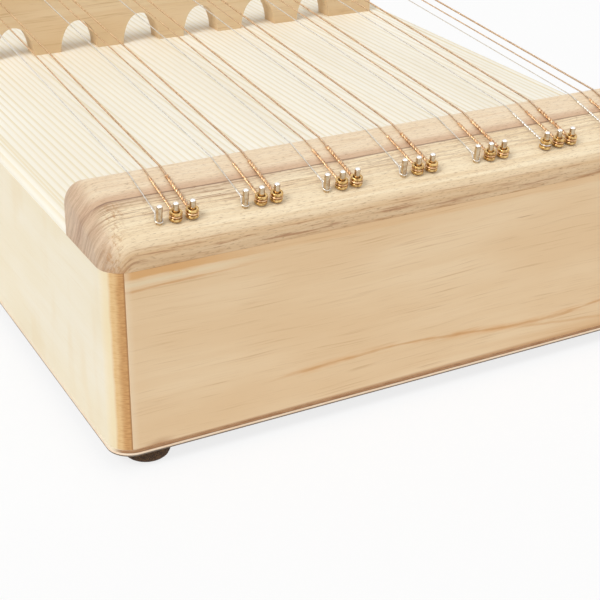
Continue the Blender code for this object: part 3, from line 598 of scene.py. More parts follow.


# The warm tan of the pin steel is a painted reflection of the wood around the pins
paint, colour = make_metal(
    "plated_pin_steel", (208, 188, 158), (176, 148, 114), 0.1, 0.26, 0.9)
facing_up = add_node(paint.tree, "ShaderNodeSeparateXYZ", None, {
    0: add_node(paint.tree, "ShaderNodeNewGeometry").outputs["Normal"]})
# Faces that point up go near white: a painted highlight
painted_top_highlight = paint.step(facing_up.outputs["Z"], 0.25, 0.55)
paint.set("Base Color", paint.mix(painted_top_highlight, colour, (246, 244, 240)))
PIN_STEEL = paint.material
METALS = []
for name, bright, dull, low, high, scale in (
    ("drawn_steel_wire", (232, 228, 222), (204, 194, 180), 0.2, 0.36, 1.5),
    ("bronze_winding", (230, 196, 154), (190, 146, 102), 0.26, 0.42, 1.2),
    ("golden_lock_wire", (232, 194, 150), (160, 112, 72), 0.2, 0.38, 1.0),
    # The brass's dark stain colour is partly stains, partly a painted reflection of dark
    # surroundings
    ("turned_brass", (230, 194, 130), (164, 122, 68), 0.1, 0.26, 1.1),
):
    paint, colour = make_metal(name, bright, dull, low, high, scale)
    paint.set("Base Color", colour)
    METALS.append(paint.material)
WIRE_STEEL, BRONZE, LOCK_WIRE, BRASS = METALS
print("Five metals")

# %% [markdown]
# ## Meshes by rings
# Most wooden pieces are one section carried along a line. `loft` joins rings of points to
# a closed solid, and `turned` does the same for pieces from a lathe.

# %% Mesh tools
def finished(shape, name, material, sharp=30):
    """An object from a bmesh, with smooth shading that breaks at sharp edges."""
    bmesh.ops.remove_doubles(shape, verts=shape.verts, dist=1e-7)
    bmesh.ops.recalc_face_normals(shape, faces=shape.faces)
    mesh = bpy.data.meshes.new(name)
    shape.to_mesh(mesh)
    shape.free()
    mesh.shade_smooth()
    mesh.set_sharp_from_angle(angle=math.radians(sharp))
    mesh.materials.append(material)
    obj = bpy.data.objects.new(name, mesh)
    bpy.context.scene.collection.objects.link(obj)
    return obj


def loft(rings, caps=True, around=False):
    """Faces between rings of points. Around also joins the last ring to the first."""
    shape = bmesh.new()
    loops = [[shape.verts.new(point) for point in ring] for ring in rings]
    pairs = list(zip(loops, loops[1:]))
    if around:
        pairs.append((loops[-1], loops[0]))
    for first, second in pairs:
        for i in range(len(first)):
            j = (i + 1) % len(first)
            shape.faces.new((first[i], first[j], second[j], second[i]))
    if caps and not around:
        shape.faces.new(loops[0])
        shape.faces.new(loops[-1])
    return shape


def turned(profile, sides, around=False):
    """A lathe's work from (radius, height) points."""
    rings = []
    for radius, height in profile:
        ring = []
        for step in range(sides):
            angle = 2 * math.pi * step / sides
            ring.append((radius * math.cos(angle), radius * math.sin(angle), height))
        rings.append(ring)
    return loft(rings, True, around)


def arc(centre, radius, start, end, steps):
    """Points of an arc between two angles in degrees."""
    points = []
    for step in range(steps + 1):
        angle = math.radians(start + (end - start) * step / steps)
        points.append((centre[0] + radius * math.cos(angle), centre[1] + radius * math.sin(angle)))
    return points


def applied(obj):
    """The object with its modifiers made into its mesh."""
    evaluated = obj.evaluated_get(bpy.context.evaluated_depsgraph_get())
    mesh = bpy.data.meshes.new_from_object(evaluated)
    obj.modifiers.clear()
    old = obj.data
    obj.data = mesh
    bpy.data.meshes.remove(old)
    return obj


def cut(obj, cutter, operation="DIFFERENCE"):
    """Cuts an object with another, which is then removed."""
    modifier = obj.modifiers.new("cut", "BOOLEAN")
    modifier.operation = operation
    modifier.solver = "EXACT"
    modifier.object = cutter
    bpy.context.view_layer.update()
    applied(obj)
    bpy.data.objects.remove(cutter)


def eased(obj, width):
    """Breaks the sharp edges of a piece, as sandpaper does."""
    bevel = obj.modifiers.new("eased", "BEVEL")
    bevel.width = width
    bevel.segments = 2
    bevel.limit_method = "ANGLE"
    bevel.angle_limit = math.radians(40)
    bevel.harden_normals = True
    bpy.context.view_layer.update()
    return applied(obj)


def dress(piece, slot, *nodes, body="box"):
    """Lets a piece ride on its body, and stand for the solids that it dresses."""
    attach(piece, body)
    if nodes:
        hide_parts(*nodes)


# %% [markdown]
# ## The frame of boards
# The side boards run the whole length and are rounded at their ends; the front and end
# boards are let in between them. The corner radius is larger than a board is thick, so
# the last of the curve is on the end boards. Each board is its plan, drawn upwards, with
# its edges eased by a tenth of a millimetre, which draws the hairline at each joint.

# %% Boards
CORNER_STEPS = 24
EASE = 0.12 * MM


def corner_arc(start, end):
    """Plan points of the front left corner, between two angles in degrees."""
    centre = (CORNER_RADIUS - SIDE, CORNER_RADIUS - END)
    return arc(centre, CORNER_RADIUS, start, end, CORNER_STEPS)


def upright(plan, name, material):
    """A board from its plan, from the plate up to the soundboard's level."""
    low = PLATE_TOP + HAIRLINE
    high = DECK - HAIRLINE
    rings = [[(x, y, z) for x, y in plan] for z in (low, high)]
    return eased(finished(loft(rings), name, material), EASE)


joint_angle = 180 + math.degrees(math.acos((CORNER_RADIUS - BOARD) / CORNER_RADIUS))
end_angle = 180 + math.degrees(math.acos((CORNER_RADIUS - BOARD - HAIRLINE) / CORNER_RADIUS))
near = corner_arc(180, joint_angle)
left_plan = near + [(x, -y) for x, y in reversed(near)]
left = upright(left_plan, "left_board", MAPLE_SIDE)
dress(left, "maple", "side_board_left")
right = upright([(-x, y) for x, y in left_plan], "right_board", MAPLE_SIDE)
dress(right, "maple", "side_board_right")

near = corner_arc(end_angle, 270)
inner = BOARD + HAIRLINE - SIDE
front_plan = [(inner, BOARD - END)] + near
front_plan += [(-x, y) for x, y in reversed(near)] + [(-inner, BOARD - END)]
front = upright(front_plan, "front_board_face", MAPLE_END)
dress(front, "maple", "front_board")
far = upright([(x, -y) for x, y in front_plan], "end_board_face", MAPLE_END)
dress(far, "maple", "end_board")
print("Four boards, joints at %.1f degrees of the corner" % (joint_angle - 180))

# %% [markdown]
# ## The bottom plate
# A thin plate with the plan of the whole box. Its lower edge is rounded over, so it is
# a loft of the plan that draws in a little at the bottom.

# %% Plate
def plan_ring(inset, z):
    """The plan of the box, drawn in by an inset, at a height."""
    quarter = [(x, y) for x, y in arc(
        (CORNER_RADIUS - SIDE, CORNER_RADIUS - END), CORNER_RADIUS - inset, 180, 270, CORNER_STEPS)]
    ring = list(quarter)
    ring += [(-x, y) for x, y in reversed(quarter)]
    ring += [(-x, -y) for x, y in quarter]
    ring += [(x, -y) for x, y in reversed(quarter)]
    return [(x, y, z) for x, y in ring]


edge = 0.25 * MM
rings = [plan_ring(0.06 * MM, PLATE_TOP), plan_ring(0, PLATE_TOP - 0.06 * MM)]
for across, down in arc((edge, edge), edge, 180, 270, 6):
    rings.append(plan_ring(across, PLATE_BOTTOM + down))
plate = finished(loft(rings), "plate", PLYWOOD, 25)
dress(plate, "plywood", "bottom_plate")
print("Plate %.1f mm thick" % ((PLATE_TOP - PLATE_BOTTOM) / MM))

# %% [markdown]
# ## The soundboard
# The board between the rails is one section drawn along Y, with its two upper long edges
# rounded, and the sound hole cut through it.

# %% Soundboard
EDGE_RADIUS = 2.6 * MM
HOLE_RADIUS = 25.0 * MM
HOLE_Y = 90.0 * MM
DECK_LOW = DECK - HAIRLINE
quarter = arc((EDGE_RADIUS - SIDE, SOUNDBOARD_TOP - EDGE_RADIUS), EDGE_RADIUS, 180, 90, 10)
section = [(-SIDE, DECK_LOW)] + quarter
section += [(-x, z) for x, z in reversed(quarter)] + [(SIDE, DECK_LOW)]
stations = (HITCH_DEPTH + HAIRLINE - END, END - TUNING_DEPTH - HAIRLINE)
rings = [[(x, y, z) for x, z in section] for y in stations]
board = finished(loft(rings), "spruce_board", SPRUCE)
hole = turned([(HOLE_RADIUS, DECK - 0.01), (HOLE_RADIUS, SOUNDBOARD_TOP + 0.01)], 96)
bmesh.ops.translate(hole, verts=hole.verts, vec=(0, HOLE_Y, 0))
cut(board, finished(hole, "hole", SPRUCE))
eased(board, 0.25 * MM)
dress(board, "spruce", "soundboard")
print("Soundboard with a hole of %.0f mm" % (2 * HOLE_RADIUS / MM))

# %% [markdown]
# ## The rails
# Each rail has a sloping top that starts in a big round nose and ends in a small crest,
# where the strings leave it. Towards its ends the section gets lower and draws in, so the
# loft ends in a soft shoulder. The tuning rail is bored for its pins.

# %% Rails
def end_inset(distance, radius):
    """How far a rounded end draws in, at a distance from the end face."""
    rest = max(radius - distance, 0.0)
    return radius - math.sqrt(radius ** 2 - rest ** 2)


def rail_line(depth, height, slope):
    """Where the sloping top meets the crest: distance from the outer face, and height."""
    return (depth - CREST_RADIUS * (1 + math.sin(slope)),
            height - CREST_RADIUS * (1 - math.cos(slope)))


def rail_surface(depth, slope, distance):
    """World height of the sloping top at a distance from the outer face."""
    top_u, top_v = rail_line(depth, RAIL_HEIGHT, slope)
    return DECK + top_v + (distance - top_u) * math.tan(slope)


def rail_section(depth, height, slope, inset):
    top_u, top_v = rail_line(depth, height, slope)
    front_v = top_v + (inset - top_u) * math.tan(slope)
    rise = math.cos(slope) - (1 - math.sin(slope)) * math.tan(slope)
    radius = min(NOSE_RADIUS, (front_v - 0.5 * MM) / rise)
    nose = (inset + radius, front_v - radius * rise)
    lean = math.degrees(slope)
    points = [(depth, 0.0), (inset, 0.0)]
    points += arc(nose, radius, 180, 90 + lean, 20)
    crest = (depth - CREST_RADIUS, height - CREST_RADIUS)
    points += arc(crest, CREST_RADIUS, 90 + lean, 0, 10)
    return points


def make_rail(name, depth, slope, facing, material):
    stations = []
    for step in range(CORNER_STEPS + 1):
        distance = CORNER_RADIUS * (1 - math.cos(math.pi / 2 * step / CORNER_STEPS))
        height = RAIL_HEIGHT - end_inset(distance, RAIL_END_RADIUS)
        inset = end_inset(distance, CORNER_RADIUS)
        stations.append((SIDE - distance, rail_section(depth, height, slope, inset)))
    rings = []
    for x, section in stations:
        rings.append([(-x, facing * (u - END), DECK + v) for u, v in section])
    for x, section in reversed(stations):
        rings.append([(x, facing * (u - END), DECK + v) for u, v in section])
    return finished(loft(rings), name, material, 35)


hitch_rail = make_rail("front_rail", HITCH_DEPTH, HITCH_SLOPE, 1, WALNUT_HITCH)
dress(hitch_rail, "walnut", "hitch_rail")
tuning_rail = make_rail("far_rail", TUNING_DEPTH, TUNING_SLOPE, -1, WALNUT_TUNING)
print("Two rails, %.1f mm high" % (RAIL_HEIGHT / MM))

# %% [markdown]
# ## Bores for the tuning pins
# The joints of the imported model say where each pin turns, so the bores are taken from
# there. One cutter holds them all.

# %% Bores
PIN_PLACES = [Vector(joint["pos_m"]) for joint in frame["joints"]]
BORE_RADIUS = 2.58 * MM
bores = bmesh.new()
for place in PIN_PLACES:
    bmesh.ops.create_cone(
        bores,
        cap_ends=True,
        segments=32,
        radius1=BORE_RADIUS,
        radius2=BORE_RADIUS,
        depth=60 * MM,
        matrix=Matrix.Translation(place),
    )
cut(tuning_rail, finished(bores, "bores", WALNUT_TUNING))
tuning_rail.data.set_sharp_from_angle(angle=math.radians(35))
dress(tuning_rail, "walnut", "tuning_rail")
print(len(PIN_PLACES), "bores")

# %% [markdown]
# ## The bridge
# A standing board of maple with a foot under each course and round arches between them.
# It is thick at its feet and narrow at its top. The front view, drawn as an outline, is
# cut to the side view by a Boolean, and a small notch holds each string.

# %% Bridge
BRIDGE_HEIGHT = BRIDGE_TOP - BRIDGE_BOTTOM
ARCH_HEIGHT = 13.0 * MM
FOOT_WIDTH = 12.0 * MM
BRIDGE_FOOT = 10.0 * MM
BRIDGE_RIDGE = 1.5 * MM
SHOULDER = 12.0 * MM
bridge_end = STRING_SPAN / 2 + 11.5 * MM


def string_place(index):
    """Course, place in the course and x of a string, counted from the left."""
    course, rank = divmod(index, STRINGS_PER_COURSE)
    return course, rank, course * COURSE_PITCH + rank * STRING_PITCH - STRING_SPAN / 2


outline = [(-bridge_end, 0.0)]
half_arch = (COURSE_PITCH - FOOT_WIDTH) / 2
for course in range(COURSES - 1):
    middle = (course + 0.5 - (COURSES - 1) / 2) * COURSE_PITCH
    for u, v in arc((0, 0), 1.0, 180, 0, 24):
        outline.append((middle + u * half_arch, v * ARCH_HEIGHT))
outline.append((bridge_end, 0.0))
outline += arc((bridge_end - SHOULDER, BRIDGE_HEIGHT - SHOULDER), SHOULDER, 0, 90, 16)
outline += arc((SHOULDER - bridge_end, BRIDGE_HEIGHT - SHOULDER), SHOULDER, 90, 180, 16)
rings = [[(x, y, BRIDGE_BOTTOM + z) for x, z in outline] for y in (-0.01, 0.01)]
bridge = finished(loft(rings), "maple_bridge", MAPLE_BRIDGE)

half = BRIDGE_FOOT / 2
side_view = [(-half, 0.0), (half, 0.0), (half, ARCH_HEIGHT / 2)]
side_view += arc((0, BRIDGE_HEIGHT - BRIDGE_RIDGE), BRIDGE_RIDGE, 10, 170, 12)
side_view.append((-half, ARCH_HEIGHT / 2))
rings = [[(x, y, BRIDGE_BOTTOM + z) for y, z in side_view] for x in (-SIDE, SIDE)]
cut(bridge, finished(loft(rings), "side_view", MAPLE_BRIDGE), "INTERSECT")

NOTCH_DEPTH = 0.25 * MM
notches = bmesh.new()
for index in range(COUNT):
    rank, x = string_place(index)[1:]
    radius = STRING_RADII[rank] + 0.05 * MM
    middle = (x, 0, BRIDGE_TOP - NOTCH_DEPTH + radius)
    bmesh.ops.create_cone(
        notches,
        cap_ends=True,
        segments=16,
        radius1=radius,
        radius2=radius,
        depth=12 * MM,
        matrix=Matrix.Translation(middle) @ Matrix.Rotation(math.pi / 2, 4, "X"),
    )
cut(bridge, finished(notches, "notches", MAPLE_BRIDGE))
eased(bridge, 0.15 * MM)
dress(bridge, "maple", "bridge")
print("Bridge with %d notches" % COUNT)

# %% [markdown]
# ## The feet
# Four short round pads with rounded lower edges. Pressed fibre is uneven, so each point
# of the lathe's surface is moved a little by a noise.

# %% Feet
FOOT_RADIUS = 8.0 * MM
FOOT_HEIGHT = PLATE_BOTTOM - HAIRLINE
FOOT_EDGE = 2.5 * MM
FOOT_GRAIN = 0.12 * MM
profile = [(0.0004 * step, 0.0) for step in range(1, 14)]
profile += arc((FOOT_RADIUS - FOOT_EDGE, FOOT_EDGE), FOOT_EDGE, -90, 0, 8)
profile += [(FOOT_RADIUS, FOOT_HEIGHT - 0.002), (FOOT_RADIUS, FOOT_HEIGHT - 0.001)]
profile.append((FOOT_RADIUS, FOOT_HEIGHT))
for name in ("front_left", "front_right", "back_left", "back_right"):
    node = "foot_" + name
    middle = (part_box(node)[0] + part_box(node)[1]) / 2
    pad = turned(profile, 48)
    for vert in pad.verts:
        radial = Vector((vert.co.x, vert.co.y, 0))
        if FOOT_EDGE / 4 < vert.co.z < FOOT_HEIGHT - FOOT_GRAIN:
            grain = noise.noise(Vector((*(vert.co * 900),)) + Vector((0, 0, middle.x * 99)))
            vert.co += radial.normalized() * grain * FOOT_GRAIN
    bmesh.ops.translate(pad, verts=pad.verts, vec=(middle.x, middle.y, 0))
    dress(finished(pad, "pad_" + name, PRESSED_FIBRE, 50), "foot", node)
print("Four feet, %.1f mm high" % (FOOT_HEIGHT / MM))

# %% [markdown]
# ## Geometry Nodes for what repeats
# Three trees do the rest. `copies` sets one shape at many points. `wire` gives a line of
# points a round section. `winding` wraps a wire round a line: it turns the line's own
# normal once for each turn, moves the points out along it, and gives them a section.

# %% Tree tools
def new_tree(name, inputs):
    """An empty geometry tree with named inputs, and its first and last node."""
    tree = bpy.data.node_groups.new(name, "GeometryNodeTree")
    face = tree.interface
    face.new_socket("Geometry", in_out="INPUT", socket_type="NodeSocketGeometry")
    for label, kind in inputs.items():
        face.new_socket(label, in_out="INPUT", socket_type="NodeSocket" + kind)
    face.new_socket("Geometry", in_out="OUTPUT", socket_type="NodeSocketGeometry")
    return tree, add_node(tree, "NodeGroupInput"), add_node(tree, "NodeGroupOutput")


def end_tree(tree, given, last, geometry):
    """Ends a tree in Realize Instances and Set Material."""
    real = add_node(tree, "GeometryNodeRealizeInstances", None, {"Geometry": geometry})
    painted = add_node(tree, "GeometryNodeSetMaterial", None, {
        "Geometry": real.outputs[0], "Material": given.outputs["Material"]})
    tree.links.new(painted.outputs[0], last.inputs[0])


def grow(tree, mesh, values):
    """The mesh that a tree makes from a start mesh."""
    holder = bpy.data.objects.new("holder", mesh)
    bpy.context.scene.collection.objects.link(holder)
    modifier = holder.modifiers.new("grow", "NODES")
    modifier.node_group = tree
    for item in tree.interface.items_tree:
        if item.in_out == "INPUT" and item.name in values:
            modifier[item.identifier] = values[item.name]
    bpy.context.view_layer.update()
    evaluated = holder.evaluated_get(bpy.context.evaluated_depsgraph_get())
    made = bpy.data.meshes.new_from_object(evaluated)
    bpy.data.objects.remove(holder)
    bpy.data.meshes.remove(mesh)
    return made


def line_mesh(lines, radii=None):
    """Lines of points as one mesh of edges, with a radius at each point."""
    points, edges, sizes = [], [], []
    for number, line in enumerate(lines):
        first = len(points)
        points += [tuple(point) for point in line]
        edges += [(first + i, first + i + 1) for i in range(len(line) - 1)]
        sizes += [radii[number] if radii else 1.0] * len(line)
    mesh = bpy.data.meshes.new("line")
    mesh.from_pydata(points, edges, [])
    mesh.attributes.new("thickness", "FLOAT", "POINT").data.foreach_set("value", sizes)
    return mesh


def as_piece(meshes, name):
    """One object from one or more meshes, each with its own material."""
    shape = bmesh.new()
    made = bpy.data.meshes.new(name)
    for mesh in meshes:
        offset = len(made.materials)
        known = len(shape.faces)
        shape.from_mesh(mesh)
        shape.faces.ensure_lookup_table()
        for face in shape.faces[known:]:
            face.material_index = offset
            face.smooth = True
        made.materials.append(mesh.materials[0])
    shape.to_mesh(made)
    shape.free()
    obj = bpy.data.objects.new(name, made)
    bpy.context.scene.collection.objects.link(obj)
    return obj


# %% Tree for copies at points
COPIES, given, last = new_tree("copies", {
    "Shape": "Object", "Lean": "Float", "Spread": "Float", "Seed": "Int", "Material": "Material"})
shape_of = add_node(COPIES, "GeometryNodeObjectInfo", None, {"Object": given.outputs["Shape"]})
least = add_node(COPIES, "ShaderNodeMath", {"operation": "MULTIPLY"}, {
    0: given.outputs["Spread"], 1: -1.0})
turns = []
for number in range(2):
    seed = add_node(COPIES, "ShaderNodeMath", {"operation": "ADD"}, {
        0: given.outputs["Seed"], 1: float(number)})
    turn = add_node(COPIES, "FunctionNodeRandomValue", None, {
        2: least.outputs[0], 3: given.outputs["Spread"], "Seed": seed.outputs[0]})
    turns.append(turn.outputs[1])
lean = add_node(COPIES, "ShaderNodeMath", {"operation": "ADD"}, {
    0: given.outputs["Lean"], 1: turns[0]})
angles = add_node(COPIES, "ShaderNodeCombineXYZ", None, {0: lean.outputs[0], 1: turns[1]})
placed = add_node(COPIES, "GeometryNodeInstanceOnPoints", None, {
    "Points": given.outputs["Geometry"],
    "Instance": shape_of.outputs["Geometry"],
    "Rotation": angles.outputs[0],
})
end_tree(COPIES, given, last, placed.outputs[0])

# %% Tree for a wire along a line
WIRE, given, last = new_tree("wire", {"Sides": "Int", "Material": "Material"})
curve = add_node(WIRE, "GeometryNodeMeshToCurve", None, {"Mesh": given.outputs["Geometry"]})
thickness = add_node(WIRE, "GeometryNodeInputNamedAttribute", {"data_type": "FLOAT"}, {
    "Name": "thickness"})
ring = add_node(WIRE, "GeometryNodeCurvePrimitiveCircle", None, {
    "Resolution": given.outputs["Sides"], "Radius": 1.0})
tube = add_node(WIRE, "GeometryNodeCurveToMesh", None, {
    "Curve": curve.outputs[0],
    "Profile Curve": ring.outputs[0],
    "Scale": thickness.outputs[0],
    "Fill Caps": True,
})
end_tree(WIRE, given, last, tube.outputs[0])

# %% Tree for a winding round a line
WINDING, given, last = new_tree("winding", {
    "Pitch": "Float",
    "Reach": "Float",
    "Wire Radius": "Float",
    "Points Per Turn": "Float",
    "Start": "Float",
    "Sides": "Int",
    "Material": "Material",
})
curve = add_node(WINDING, "GeometryNodeMeshToCurve", None, {"Mesh": given.outputs["Geometry"]})
length = add_node(WINDING, "GeometryNodeCurveLength", None, {"Curve": curve.outputs[0]})
turn_count = add_node(WINDING, "ShaderNodeMath", {"operation": "DIVIDE"}, {
    0: length.outputs[0], 1: given.outputs["Pitch"]})
point_count = add_node(WINDING, "ShaderNodeMath", {"operation": "MULTIPLY"}, {
    0: turn_count.outputs[0], 1: given.outputs["Points Per Turn"]})
many = add_node(WINDING, "GeometryNodeResampleCurve", None, {
    "Curve": curve.outputs[0], "Count": point_count.outputs[0]})
run = add_node(WINDING, "GeometryNodeSplineParameter")
turned_by = add_node(WINDING, "ShaderNodeMath", {"operation": "DIVIDE"}, {
    0: run.outputs["Length"], 1: given.outputs["Pitch"]})
started = add_node(WINDING, "ShaderNodeMath", {"operation": "ADD"}, {
    0: turned_by.outputs[0], 1: given.outputs["Start"]})
angle = add_node(WINDING, "ShaderNodeMath", {"operation": "MULTIPLY"}, {
    0: started.outputs[0], 1: 2 * math.pi})
tilted = add_node(WINDING, "GeometryNodeSetCurveTilt", None, {
    "Curve": many.outputs[0], "Tilt": angle.outputs[0]})
outward = add_node(WINDING, "ShaderNodeVectorMath", {"operation": "SCALE"}, {
    0: add_node(WINDING, "GeometryNodeInputNormal").outputs[0],
    "Scale": given.outputs["Reach"],
})
moved = add_node(WINDING, "GeometryNodeSetPosition", None, {
    "Geometry": tilted.outputs[0], "Offset": outward.outputs[0]})
level = add_node(WINDING, "GeometryNodeSetCurveTilt", None, {
    "Curve": moved.outputs[0], "Tilt": 0.0})
ring = add_node(WINDING, "GeometryNodeCurvePrimitiveCircle", None, {
    "Resolution": given.outputs["Sides"], "Radius": given.outputs["Wire Radius"]})
tube = add_node(WINDING, "GeometryNodeCurveToMesh", None, {
    "Curve": level.outputs[0], "Profile Curve": ring.outputs[0], "Fill Caps": True})
end_tree(WINDING, given, last, tube.outputs[0])
print("Three trees: copies, wire and winding")

# %% [markdown]
# ## Hitch pins
# Plated steel pins, two millimetres thick, with domed tops. They lean a little away from
# the pull of the strings, and no two lean quite alike, so `copies` adds a small spread.

# %% Hitch pins
PIN_RADIUS = 1.0 * MM
PIN_STAND = 6.6 * MM
PIN_FROM_FRONT = 6.9 * MM
LEAN = math.radians(8.0)


def pin_base(index):
    """Where a hitch pin's axis leaves the sloping top."""
    height = rail_surface(HITCH_DEPTH, HITCH_SLOPE, PIN_FROM_FRONT)
    return Vector((string_place(index)[2], PIN_FROM_FRONT - END, height))


def points_mesh(points):
    mesh = bpy.data.meshes.new("points")
    mesh.from_pydata([tuple(point) for point in points], [], [])
    return mesh


dome = [(PIN_RADIUS * math.sin(angle), PIN_STAND - PIN_RADIUS * 0.8 * (1 - math.cos(angle)))
        for angle in (math.radians(value) for value in range(8, 91, 12))]
profile = [(0.02 * MM, PIN_STAND)] + dome + [(PIN_RADIUS, PIN_STAND - 1.4 * MM)]
profile += [(PIN_RADIUS, 0.0), (PIN_RADIUS, -6.0 * MM)]
one_pin = finished(turned(profile, 24), "one_pin", PIN_STEEL, 60)
pins = grow(COPIES, points_mesh([pin_base(i) for i in range(COUNT)]), {
    "Shape": one_pin,
    "Lean": LEAN,
    "Spread": math.radians(0.8),
    "Seed": 3,
    "Material": PIN_STEEL,
})
bpy.data.objects.remove(one_pin)
pins = as_piece([pins], "hitch_pins")
dress(pins, "pin_steel")
print("%d hitch pins, %d faces" % (COUNT, len(pins.data.polygons)))

# %% [markdown]
# ## Ball ends
# A wound string ends in a small turned brass bobbin with two flanges and a groove. The
# hitch pin goes through its bore, and the string's wire lies round its groove. The five
# nearest plain strings have a simple wire loop instead; all others have a ball.

# %% Ball ends
BALL_RADIUS = 2.1 * MM
BALL_HEIGHT = 3.0 * MM
GROOVE_RADIUS = 1.6 * MM
BORE = 1.25 * MM
PIN_AXIS = Vector((0, -math.sin(LEAN), math.cos(LEAN)))
BALL_BACK = Vector((0, math.cos(LEAN), math.sin(LEAN)))
AWAY = Vector((1, 0, 0))


def ball_middle(index):
    """Middle of a ball end, whose lower back edge rests on the rail."""
    lift = 0.05 * MM + BALL_RADIUS * math.tan(HITCH_SLOPE - LEAN) + BALL_HEIGHT / 2
    return pin_base(index) + PIN_AXIS * lift


def has_ball(index):
    course, rank = string_place(index)[:2]
    return rank > 0 or course >= LOOP_COURSES


top = BALL_HEIGHT / 2
flange = 0.95 * MM
round_edge = 0.22 * MM
profile = [(BORE, top - 0.15 * MM), (BORE + 0.15 * MM, top)]
profile += arc((BALL_RADIUS - round_edge, top - round_edge), round_edge, 90, 0, 4)
profile += arc((BALL_RADIUS - round_edge, top - flange + round_edge), round_edge, 0, -90, 4)
profile += [(GROOVE_RADIUS, top - flange)]
profile += [(radius, -height) for radius, height in reversed(profile)]
one_ball = finished(turned(profile, 40, True), "one_ball", BRASS, 50)
balls = grow(COPIES, points_mesh([ball_middle(i) for i in range(COUNT) if has_ball(i)]), {
    "Shape": one_ball,
    "Lean": LEAN,
    "Spread": math.radians(2.5),
    "Seed": 11,
    "Material": BRASS,
})
bpy.data.objects.remove(one_ball)
balls = as_piece([balls], "ball_ends")
dress(balls, "string_bronze")
print("%d ball ends" % sum(has_ball(i) for i in range(COUNT)))

# %% [markdown]
# ## Tuning pins
# Zither pins: five millimetres thick, with a fine thread in the wood, an eye for the
# string and a square head for the key. The thread is in the rings of the loft: each
# point's radius depends on its height and on its angle. One pin is made and bored, and
# then copied to the place of each joint, on a body of its own.

# %% Tuning pins
TUNING_RADIUS = 2.5 * MM
PIN_LENGTH = 45.0 * MM
PIN_TOP = 17.0 * MM
HEAD = 8.0 * MM
HALF_FLAT = 2.05 * MM
EYE_HEIGHT = 6.2 * MM
THREAD_PITCH = 0.8 * MM
THREAD_DEPTH = 0.18 * MM
THREAD_TOP = 3.4 * MM
PIN_SIDES = 32


def pin_ring(height, radius, half_flat, thread):
    ring = []
    for step in range(PIN_SIDES):
        angle = 2 * math.pi * (step + 0.5) / PIN_SIDES
        turn = (height / THREAD_PITCH + angle / (2 * math.pi)) % 1.0
        reach = radius - thread * abs(2 * turn - 1)
        x = max(-half_flat, min(half_flat, reach * math.cos(angle)))
        y = max(-half_flat, min(half_flat, reach * math.sin(angle)))
        ring.append((x, y, height))
    return ring


WIDE = TUNING_RADIUS * 2
pin_bottom = PIN_TOP - PIN_LENGTH
rings = [pin_ring(pin_bottom, TUNING_RADIUS - 0.8 * MM, WIDE, 0)]
height = pin_bottom + 0.8 * MM
while height < THREAD_TOP:
    depth = THREAD_DEPTH * min(1.0, (THREAD_TOP - height) / THREAD_PITCH)
    rings.append(pin_ring(height, TUNING_RADIUS, WIDE, depth))
    height += THREAD_PITCH / 4
shoulder = PIN_TOP - HEAD
rings.append(pin_ring(THREAD_TOP + 0.2 * MM, TUNING_RADIUS, WIDE, 0))
rings.append(pin_ring(shoulder - 0.5 * MM, TUNING_RADIUS, WIDE, 0))
rings.append(pin_ring(shoulder + 0.15 * MM, TUNING_RADIUS, HALF_FLAT + 0.12 * MM, 0))
rings.append(pin_ring(shoulder + 0.5 * MM, TUNING_RADIUS, HALF_FLAT, 0))
rings.append(pin_ring(PIN_TOP - 0.7 * MM, TUNING_RADIUS - 0.05 * MM, HALF_FLAT - 0.06 * MM, 0))
rings.append(pin_ring(PIN_TOP - 0.25 * MM, TUNING_RADIUS - 0.35 * MM, HALF_FLAT - 0.2 * MM, 0))
rings.append(pin_ring(PIN_TOP, TUNING_RADIUS - 0.9 * MM, HALF_FLAT - 0.6 * MM, 0))
key_pin = finished(loft(rings), "key_pin", PIN_STEEL, 40)
eye = turned([(0.6 * MM, -5 * MM), (0.6 * MM, 5 * MM)], 16)
bmesh.ops.rotate(eye, verts=eye.verts, matrix=Matrix.Rotation(math.pi / 2, 3, "X"))
bmesh.ops.translate(eye, verts=eye.verts, vec=(0, 0, EYE_HEIGHT))
cut(key_pin, finished(eye, "eye", PIN_STEEL))
key_pin.data.set_sharp_from_angle(angle=math.radians(35))
for index, place in enumerate(PIN_PLACES):
    number = "%02d" % (index + 1)
    mesh = key_pin.data.copy()
    mesh.transform(Matrix.Translation(place))
    pin = bpy.data.objects.new("key_pin_" + number, mesh)
    bpy.context.scene.collection.objects.link(pin)
    dress(pin, "pin_steel", "tuning_pin_" + number, body="pin_" + number)
print("%d tuning pins of %d faces" % (COUNT, len(key_pin.data.polygons)))
bpy.data.objects.remove(key_pin)

# %% [markdown]
# ## The run of a string
# A string leaves its end fitting, bends over the crest of the hitch rail, over its notch
# in the bridge and over the far crest, and winds clockwise up its tuning pin to the eye.
# The line is worked out once, and the core, the winding and the lock all follow it.

# %% String lines
TOUCH = 0.02 * MM
COIL_TURNS = 2.25
COIL_STEPS = 32
COIL_BELOW_EYE = 1.1 * MM
COIL_CLEARANCE = 0.05 * MM
PAST_EYE = 0.25 * MM


def bend(x, middle_y, middle_z, reach, slopes):
    """Points where a string lies on a round edge, between two slopes of its run."""
    points = []
    for step in range(5):
        slope = slopes[0] + (slopes[1] - slopes[0]) * step / 4
        points.append(Vector((x, middle_y - reach * math.sin(slope),
                              middle_z + reach * math.cos(slope))))
    return points


